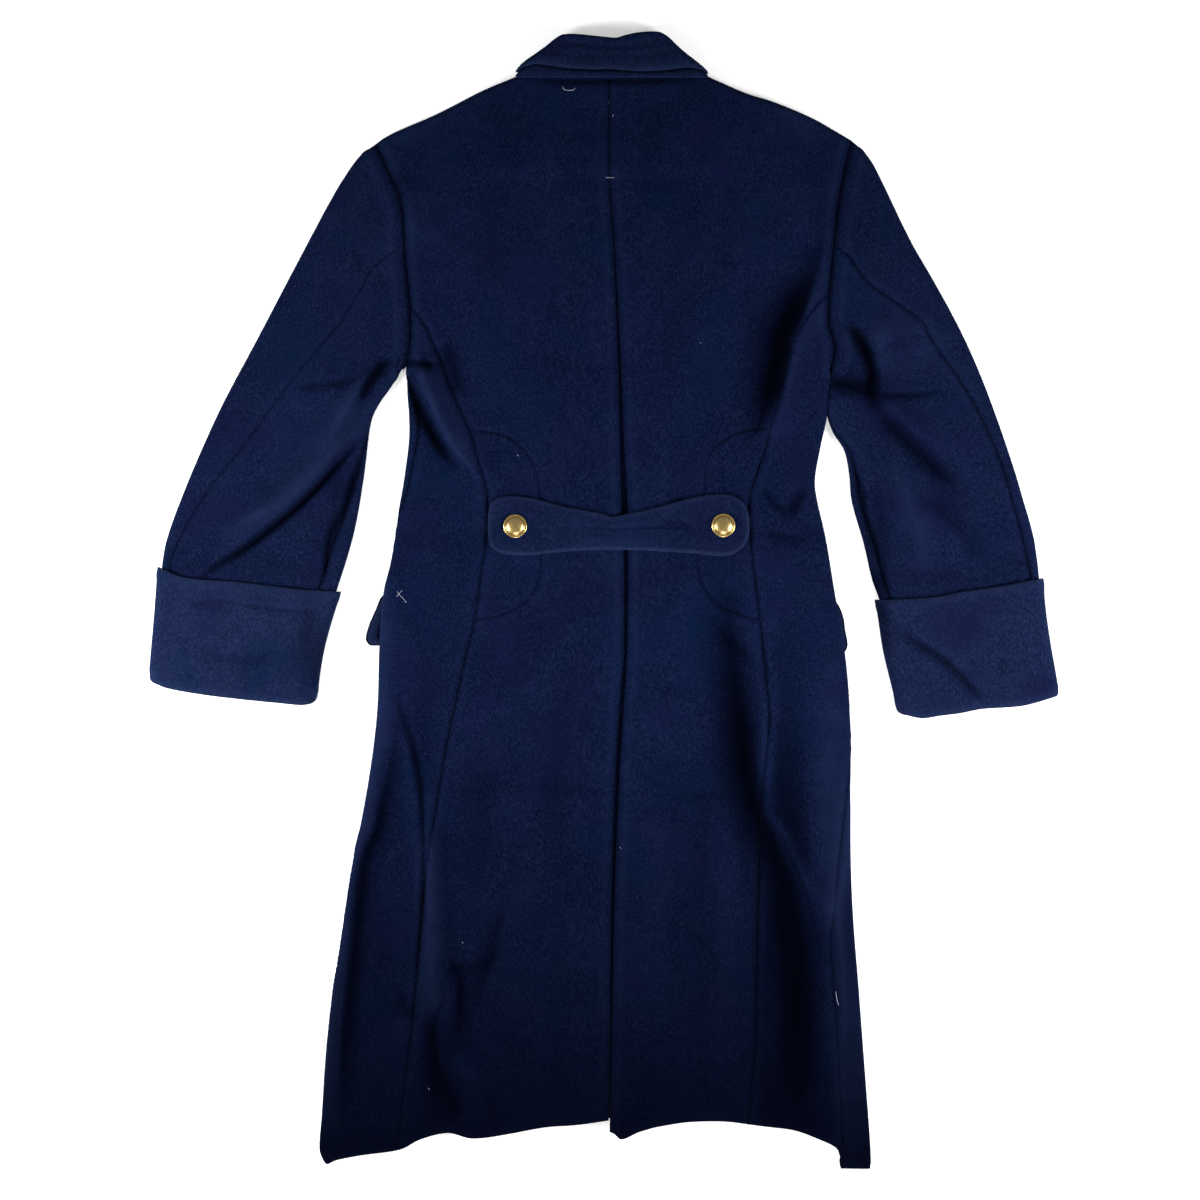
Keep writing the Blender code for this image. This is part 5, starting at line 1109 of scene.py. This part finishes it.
BELT_CREASES = [
    fold(0.7, 1.0, 1.6, -24, 77.5, -5, 75.6, 14, 74.6, 34, 75.6, 60, 76.5, 92, 73.5),
    fold(-0.7, 1.6, 4, -28, 80, -4, 78.3, 14, 77.6, 36, 78.4, 64, 79.5, 92, 77),
    fold(0.5, 5, 7, -60, 88, -20, 84, 14, 81, 60, 84),
    fold(0.6, 9, 9, -50, 62, -10, 62, 30, 62, 70, 60),
    fold(-0.5, 5, 6, 52, 92, 72, 84, 104, 80),
]


def plateau(x, y):
    """What the belt lies on: the highest of the back just round each point."""
    best = np.zeros_like(x)
    for dx in (-6, 0, 6):
        for dy in (-5, 0, 5):
            best = np.maximum(best, heights(x + dx, y + dy)[0])
    return best


def flat_piece(name, curves, step, shape, look, rim):
    """A piece that lies on others; shape gives the height and the painted light and shade of its flat points."""
    flat, triangles, away, _, _ = fill(curves, step)
    z, light_and_shade = shape(flat, away)
    made = make(name, [(np.column_stack([flat, z]), triangles, flat, away, light_and_shade)], look, rim)
    return made, flat_area(curves), flat


def half_belt(look, step):
    low = smooth([(cut.x, cut.low) for cut in BELT], 2.0)
    high = smooth([(cut.x, cut.high) for cut in BELT], 2.0)
    curves = [(low, "seam"), (np.array([low[-1], high[-1]]), "seam"), (high[::-1], "seam"),
              (np.array([high[0], low[0]]), "seam")]

    def shape(flat, away):
        x, y = flat[:, 0], flat[:, 1]
        creases = sum_of(traced(BELT_CREASES, 6.0), x, y)
        z = plateau(x, y) + BELT_LIFT + BELT_WALL
        z -= 1.3 * swell(away, 0, 1.1, 1.4)
        z += ramp(away, 1, 12) * (0.35 + creases + 0.35 * rumple(x, y, 4.0))
        z += 0.35 * swell(away, 4.0, 2.4)
        for at in BUTTONS.values():
            z -= 0.6 * swell(np.hypot(x - at.x, y - at.y), 0, 17, 4)
        # Painted light and shade: the creases', a painted highlight just inside the rim, painted shade on the very
        # edge and in a band further in
        light_and_shade = 0.6 + 3.5 * creases + 2.2 * swell(away, 1.6, 1.2) - 5.0 * swell(away, 0, 0.7)
        return z, light_and_shade - 1.6 * swell(away, 5.5, 2.4)
    return flat_piece("half_belt_cloth", curves, min(step, 1.6), shape, look, BELT_WALL - 1.4)


def button(name, look, base):
    """A domed button with a rolled rim, turned about its own axis; its face is plain."""
    at = BUTTONS[name]
    dome = [(0.0, 6.55)] + [(10.4 * np.sin(a), 1.5 + 5.05 * np.cos(a) ** 0.92) for a in np.linspace(0.06, 1.36, 22)]
    rim = [(11.55 + 1.15 * np.cos(a), 1.55 + 1.1 * np.sin(a)) for a in np.linspace(2.6, -1.3, 13)]
    foot = [(11.2, 0.25), (8.0, 0.1), (0.0, 0.0)]
    bm = bmesh.new()
    line = [bm.verts.new((r * MM, 0, z * MM)) for r, z in dome + rim + foot]
    for a, b in zip(line, line[1:]):
        bm.edges.new((a, b))
    bmesh.ops.spin(bm, geom=bm.verts[:] + bm.edges[:], cent=(0, 0, 0), axis=(0, 0, 1), angle=2 * pi, steps=72)
    bmesh.ops.remove_doubles(bm, verts=bm.verts, dist=0.01 * MM)
    for v in bm.verts:
        r, a = np.hypot(v.co.x, v.co.y) / MM, np.arctan2(v.co.y, v.co.x)
        raised = 0.16 * swell(r, 8.9, 0.35) + 0.10 * swell(r, 11.8, 0.7) * np.cos(36 * a)
        worn = 0.05 * np.sin(3 * a + 1.3) * np.sin(r * 0.5)
        if v.co.z > 1.4 * MM:
            v.co.z += (raised + worn) * MM
    bmesh.ops.recalc_face_normals(bm, faces=bm.faces)
    return piece_of(bm, f"belt_button_{name}_brass", look, (at.x + CENTRE[0], at.y + CENTRE[1], base))


FLAP_IN = 104.0         # the flaps' plain front end, hidden under the coat
FLAP_OUT = {
    "left": points(-222, 14.4, -238, 5, -244.5, -9.1, -251.5, -25.1, -255.2, -41.2, -250.9, -46.5),
    "right": points(-236, 14.4, -249.8, -3.7, -255.2, -16.6, -257.3, -30.5, -260, -46.5, -257.9, -53),
}


def pocket_flap(half, look, step):
    out = smooth(FLAP_OUT[half.name]) * [half.sign, 1]
    x = -FLAP_IN * half.sign
    ends = np.array([out[-1], [x, out[-1, 1]], [x, out[0, 1]], out[0]])
    curves = [(out, "seam")] + [(ends[i:i + 2], "seam") for i in range(3)]

    def shape(flat, away):
        # Painted shade: the flap darkens away from its outer edge, towards where it runs under the coat
        return WALL - 0.9 * swell(away, 0, 1.2, 1.4), 1.5 - 9.0 * ramp(nearest(flat, out)[0], 7, 13)
    return flat_piece(f"pocket_flap_{half.name}_cloth", curves, step, shape, look, WALL - 1.0)


UNDERLAY = (-33, 57)            # its two edges, top and low end
UNDERLAY_SPAN = (425, -553)
UNDERLAY_DROP = 3.2             # how far below the backs' cloth it lies


def pleat_underlay(look, step):
    (a, b), (top, low) = UNDERLAY, UNDERLAY_SPAN
    box = np.array([[a, top], [a, low], [b, low], [b, top], [a, top]], float)
    curves = [(box[i:i + 2], "seam") for i in range(4)]

    def shape(flat, away):
        x, y = flat[:, 0], flat[:, 1]
        return heights(x, y)[0] - WALL - UNDERLAY_DROP + 0.3 * rumple(x, y, 5.0), 0 * away
    return flat_piece("pleat_underlay_cloth", curves, step * 1.2, shape, look, 2.2)


# ---------------------------------------------------------------- sewing and what clings to the nap

def tube_of(name, paths, radius, look, sides=6):
    """One mesh of thin round threads along the given paths, in millimetres of the coat's frame."""
    bm = bmesh.new()
    for path in paths:
        path = np.asarray(path, float)
        d = np.gradient(path, axis=0)
        d /= np.linalg.norm(d, axis=1)[:, None]
        side = np.cross(d, [0.05, 0.1, 1.0])
        side /= np.linalg.norm(side, axis=1)[:, None]
        up = np.cross(side, d)
        rings = []
        for i, p in enumerate(path):
            r = radius * (0.35 if i in (0, len(path) - 1) else 1.0)
            rings.append([bm.verts.new((p + r * (np.cos(t) * side[i] + np.sin(t) * up[i])) * MM)
                          for t in np.linspace(0, 2 * pi, sides + 1)[:-1]])
        for ring, after in zip(rings, rings[1:]):
            for k in range(sides):
                n = (k + 1) % sides
                bm.faces.new((ring[k], ring[n], after[n], after[k]))
        bm.faces.new(rings[0][::-1])
        bm.faces.new(rings[-1])
    bmesh.ops.recalc_face_normals(bm, faces=bm.faces)
    return piece_of(bm, name, look)


BAR_LENGTH = 9.8
BAR_STITCHES = 17
THREAD = 0.24           # radius of the white threads


def bar_tack(look):
    x0, y0 = BAR_TACK
    z0 = float(heights(np.array([x0]), np.array([y0]))[0][0])
    paths = []
    for k in range(BAR_STITCHES):
        x = x0 - BAR_LENGTH / 2 + BAR_LENGTH * k / (BAR_STITCHES - 1)
        s = 0.07 * np.sin(5.1 * k)
        paths.append([(x - 0.12, y0 - 0.6, z0 - 0.6), (x - 0.08, y0 - 0.55 + s, z0 + 0.1),
                      (x, y0 - 0.2, z0 + 0.4), (x + 0.05, y0 + 0.2, z0 + 0.4), (x + 0.1, y0 + 0.55 + s, z0 + 0.1),
                      (x + 0.12, y0 + 0.6, z0 - 0.6)])
    return tube_of("bar_tack", paths, THREAD, look)


# Loose white threads and specks, by where they lie on the cloth
LINT = [
    points(-44.6, 550.8, -43.3, 547.4, -38, 546.3, -32.6, 547.3, -31.2, 549.5),
    points(-222, 11.2, -219.9, 8, -215.6, 3.7, -211.6, -1.4),
    points(-216.1, 12.3, -219.9, 8, -222.6, 4.8),
    points(247.2, -416.8, 248, -423, 249.5, -429.3, 253, -436.6),
    points(8.2, 518, 9.2, 519.6, 10.5, 520.8),
    points(102, 277.6, 103, 277.2, 103.6, 276.4),
    points(-93.6, 157, -92.8, 156.6, -92.2, 155.8),
    points(16.5, -262, 17, -263, 17.4, -263.8),
    points(-152.5, -364, -152, -365.2, -151.2, -366),
    points(-189, -521, -188, -521.6, -187.4, -522.6),
]


def lint(look):
    paths = []
    for path in LINT:
        x, y = smooth(path, 1.0).T
        z = heights(x, y)[0] + CREASE_DEPTH * sum_of(CREASE_LINES["body"], x, y, CREASE_SHARP) + rumple(x, y, 1.0)
        paths.append(np.column_stack([x, y, z + 0.3]))
    return tube_of("lint", paths, THREAD, look, 5)


# ---------------------------------------------------------------- materials

class Nodes:
    """Short hands for making a material's nodes."""

    def __init__(self, name):
        self.material = bpy.data.materials.new(name)
        self.material.use_nodes = True
        self.tree = self.material.node_tree
        self.shader = self.tree.nodes["Principled BSDF"]

    def feed(self, socket, value):
        if isinstance(value, bpy.types.NodeSocket):
            self.tree.links.new(value, socket)
        else:
            socket.default_value = value

    def put(self, node, **inputs):
        for key, value in inputs.items():
            self.feed(node.inputs[key.replace("_", " ")], value)
        return node

    def add(self, kind, **inputs):
        return self.put(self.tree.nodes.new(kind), **inputs)

    def place(self, kind="ShaderNodeNewGeometry", output="Position"):
        return self.add(kind).outputs[output]

    def attribute(self, name):
        node = self.add("ShaderNodeAttribute")
        node.attribute_name = name
        return node.outputs["Fac"]

    def noise(self, vector, scale, detail=2.0, roughness=0.5):
        return self.add("ShaderNodeTexNoise", Vector=vector, Scale=scale, Detail=detail,
                        Roughness=roughness).outputs[0]

    def maths(self, operation, a, b=None, clamp=False):
        node = self.add("ShaderNodeMath")
        node.operation = operation
        node.use_clamp = clamp
        for socket, value in zip(node.inputs, (a, b)):
            if value is not None:
                self.feed(socket, value)
        return node.outputs[0]

    def times(self, a, b, clamp=False):
        return self.maths("MULTIPLY", a, b, clamp)

    def ranged(self, value, low, high, new_low=0.0, new_high=1.0):
        return self.add("ShaderNodeMapRange", Value=value, From_Min=low, From_Max=high, To_Min=new_low,
                        To_Max=new_high).outputs[0]

    def mix(self, factor, a, b):
        node = self.add("ShaderNodeMix")
        node.data_type = "RGBA"
        for index, value in ((0, factor), (6, a), (7, b)):      # the sockets of its colour kind
            self.feed(node.inputs[index], (*value, 1) if isinstance(value, tuple) else value)
        return node.outputs[2]

    def stretched(self, vector, scale, turn=0.0):
        return self.add("ShaderNodeMapping", Vector=vector, Scale=scale, Rotation=(0, 0, turn)).outputs[0]

    def bump(self, height, strength, distance):
        return self.add("ShaderNodeBump", Height=height, Strength=strength, Distance=distance).outputs[0]

    def look(self, **inputs):
        """The material, with its shader's inputs set."""
        self.put(self.shader, **inputs)
        return self.material


NAVY_DARK = (0.0014, 0.0039, 0.0197)
NAVY = (0.0027, 0.0065, 0.0298)
NAVY_LIGHT = (0.0095, 0.0166, 0.0539)
NAVY_FUZZ = (0.0161, 0.0236, 0.0651)
NAVY_WORN = (0.0215, 0.0336, 0.0853)
# NAVY_DEEP: the darkest fibres, and also the colour of painted shade
NAVY_DEEP = (0.0, 0.0001, 0.0016)
NAVY_TEAL = (0.0014, 0.0072, 0.0291)
NAVY_PURPLE = (0.0039, 0.0052, 0.0281)
LINT_PALE = (0.12, 0.12, 0.15)


def wool(name, worn=0.3, turn=0.0, light=0.0):
    """Heavy navy wool with a felted, brushed nap: clouded colour, faint lengthwise streaks, short fibres; with
    painted light on raised cloth and painted shade in hollows and towards the hem and the collar.
    """
    m = Nodes(name)
    place = m.place()
    grain = m.stretched(place, (1, 1, 1), turn)
    clouds = m.noise(place, 9.0, 4.0, 0.6)
    patches = m.noise(place, 38.0, 4.0, 0.62)
    streaks = m.noise(m.stretched(grain, (1500, 60, 600)), 1.0, 3.0, 0.6)
    fibres = m.noise(m.stretched(grain, (2600, 900, 1600)), 1.0, 3.0, 0.7)
    specks = m.noise(place, 1150.0, 2.0, 0.6)
    grains = m.noise(m.stretched(grain, (520, 300, 400)), 1.0, 3.0, 0.75)
    hue = m.noise(place, 13.0, 3.0, 0.55)
    colour = m.mix(light, m.mix(m.ranged(clouds, 0.32, 0.7), NAVY_DARK, NAVY), NAVY_LIGHT)
    pale = m.times(m.ranged(patches, 0.46, 0.8), m.ranged(streaks, 0.3, 0.75), True)
    colour = m.mix(m.times(pale, 0.5), colour, NAVY_LIGHT)

    def tinted(value, low, high, share, tint):
        return m.mix(m.ranged(value, low, high, 0.0, share), colour, tint)
    colour = m.mix(m.times(m.ranged(fibres, 0.52, 0.8), 0.45), colour, NAVY_LIGHT)
    colour = tinted(grains, 0.50, 0.78, 0.60 * (1.0 + 1.6 * light), NAVY_FUZZ)
    colour = tinted(grains, 0.50, 0.20, 0.92, NAVY_DEEP)
    colour = tinted(hue, 0.5, 0.72, 0.5 + 0.3 * light, NAVY_TEAL)
    colour = tinted(hue, 0.5, 0.3, 0.6 + 0.3 * light, NAVY_PURPLE)
    light_and_shade = m.attribute("light_and_shade")          # painted light where the cloth is raised, painted shade in the hollows
    wear_and_painted_light = m.times(m.ranged(light_and_shade, 0.4, 4.5), m.ranged(patches, 0.25, 0.7, 0.45, 1.0), True)
    colour = m.mix(m.times(wear_and_painted_light, 0.75), colour, NAVY_LIGHT)
    # Painted shade, nearer to NAVY_DEEP the deeper the hollow
    depth = m.times(m.maths("MINIMUM", m.maths("ADD", light_and_shade, 0.3), 0.0), 0.30)
    colour = m.mix(m.maths("SUBTRACT", 1.0, m.maths("EXPONENT", depth)), colour, NAVY_DEEP)
    # Painted shade: darker towards the hem and towards the collar, where less light falls
    along = m.add("ShaderNodeSeparateXYZ", Vector=place).outputs["Y"]
    colour = tinted(along, -0.14, -0.60, 0.90, NAVY_DEEP)
    colour = tinted(along, 0.20, 0.50, 0.20, NAVY_DEEP)
    wear_and_painted_light = m.times(m.attribute("wear"), m.ranged(m.noise(place, 210.0, 3.0), 0.2, 0.8, 0.35, 1.0))
    colour = m.mix(m.times(wear_and_painted_light, worn, True), colour, NAVY_WORN)
    colour = tinted(specks, 0.735, 0.80, 0.55, LINT_PALE)
    twill = m.noise(m.stretched(grain, (1900, 1900, 900), 0.6), 1.0, 1.0, 0.4)
    nap = m.maths("ADD", m.times(fibres, 0.5), m.times(twill, 0.35))
    nap = m.maths("ADD", nap, m.times(m.noise(place, 170.0, 4.0, 0.6), 0.9))
    return m.look(Base_Color=colour, Roughness=m.ranged(fibres, 0.2, 0.8, 0.82, 1.0), Specular_IOR_Level=0.01,
                  Sheen_Weight=0.04, Sheen_Roughness=0.45, Sheen_Tint=(0.20, 0.40, 1.0, 1),
                  Normal=m.bump(nap, 0.5, 0.00045))


def brass(name):
    m = Nodes(name)
    place = m.place("ShaderNodeTexCoord", "Object")
    stain = m.noise(place, 340.0, 5.0, 0.65)
    fine = m.noise(place, 1500.0, 3.0, 0.6)
    return m.look(Base_Color=m.mix(m.ranged(stain, 0.42, 0.72), (0.86, 0.62, 0.26), (0.50, 0.33, 0.12)),
                  Metallic=1.0, Roughness=m.ranged(stain, 0.3, 0.75, 0.20, 0.42),
                  Normal=m.bump(m.maths("ADD", m.times(stain, 0.8), m.times(fine, 0.2)), 0.35, 0.0004))


def thread(name, bright=(0.16, 0.18, 0.26), dim=(0.06, 0.07, 0.13)):
    m = Nodes(name)
    return m.look(Base_Color=m.mix(m.ranged(m.noise(m.place(), 2500.0), 0.3, 0.7), bright, dim), Roughness=0.8)


# ---------------------------------------------------------------- floor, light and camera

LAMPS = (("right", (1.35, -0.28, 0.75), 0.5, 28), ("left", (-1.35, -0.22, 0.75), 0.5, 30),      # size and power
         ("low", (0.2, -2.2, 1.3), 0.9, 28))
LENS, SENSOR = 85, 36
VIEW_WIDTH = 1.284              # metres across the picture, at the coat's middle height


def studio():
    bpy.ops.mesh.primitive_grid_add(x_subdivisions=2, y_subdivisions=2, size=14)
    floor = bpy.context.object
    floor.name = "floor"
    floor.location = (0, 0, -0.0004)
    m = Nodes("pale floor")
    colour = m.mix(m.noise(m.place(), 3.0), (0.90, 0.90, 0.90), (0.92, 0.92, 0.92))
    floor.data.materials.append(m.look(Base_Color=colour, Roughness=0.9, Emission_Color=(1, 1, 1, 1),
                                       Emission_Strength=0.4))
    for name, spot, size, power in LAMPS:
        lamp = bpy.data.lights.new(name, "AREA")
        lamp.size = size
        lamp.energy = power
        lit = bpy.data.objects.new(name, lamp)
        bpy.context.scene.collection.objects.link(lit)
        lit.location = spot
        lit.rotation_euler = (-Vector(spot)).to_track_quat("-Z", "Y").to_euler()
    world = bpy.data.worlds.new("studio")
    world.use_nodes = True
    sky = world.node_tree.nodes["Background"]
    sky.inputs["Color"].default_value = (1, 1, 1, 1)
    sky.inputs["Strength"].default_value = 0.25
    bpy.context.scene.world = world
    bpy.context.scene.view_settings.view_transform = "Standard"
    eye = bpy.data.cameras.new("camera")
    eye.lens = LENS
    eye.sensor_width = SENSOR
    camera = bpy.data.objects.new("camera", eye)
    bpy.context.scene.collection.objects.link(camera)
    camera.location = (-0.0046, -0.0027, 0.010 + VIEW_WIDTH * LENS / SENSOR)
    bpy.context.scene.camera = camera


# ---------------------------------------------------------------- all together

def ridden(piece, node=None):
    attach(piece, "root")
    if node:
        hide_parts(node)
    return piece


def sheet_piece(made, node):
    piece, area, flat = made
    width, length = (flat.max(0) - flat.min(0)) * MM
    width = max(width, 1.02 * area / length)        # where the box over both sheets can't hold their area
    ridden(piece, node)
    return piece


def main():
    step = 2.6
    body = wool("navy wool body", 0.03)
    belt_look = wool("navy wool belt", 0.6, light=0.12)
    for half in HALVES:
        c, name, (top, end) = Cut(half), half.name, half.axis
        lean = np.arctan2(end.x - top.x, top.y - end.y)
        sleeve_look = wool(f"navy wool sleeve {name}", 0.03, -lean, 0.10)
        # Painted light: the cuffs' wool is made lighter, the left cuff's more than the right's
        cuff_look = wool(f"navy wool cuff {name}", 0.5, -lean, 0.60 if half.sign > 0 else 0.42)
        under = [sheet_piece(front(c, body, step), f"front_{name}").name]
        for piece, node in ((back, "back"), (side_back, "side_back"), (half_moon, "half_moon")):
            sheet_piece(piece(c, body, step), f"{node}_{name}")
        upper = sheet_piece(upper_sleeve(c, sleeve_look, step), f"upper_sleeve_{name}")
        sheet_piece(under_sleeve(c, sleeve_look, step), f"under_sleeve_{name}")
        sheet_piece(cuff(c, cuff_look, step), f"cuff_{name}")
        sheet_piece(pocket_flap(half, belt_look, step), f"pocket_flap_{name}")
    sheet_piece(pleat_underlay(body, step), "pleat_underlay")
    sheet_piece(half_belt(belt_look, step), "half_belt")
    fall, stand = collar(wool("navy wool collar", 0.35, light=0.30), step)
    for piece, node, deep in ((fall, "collar_fall", 54), (stand, "collar_stand", 38)):
        ridden(piece, node)
    metal = brass("brass domed")
    for name, at in BUTTONS.items():
        base = float(plateau(np.array([at.x]), np.array([at.y]))[0]) + BELT_LIFT + BELT_WALL - 0.1
        ridden(button(name, metal, base), f"belt_button_{name}")
    ridden(bar_tack(thread("white thread")))
    ridden(lint(thread("white lint", (0.42, 0.43, 0.55), (0.26, 0.27, 0.40))))
    studio()


main()
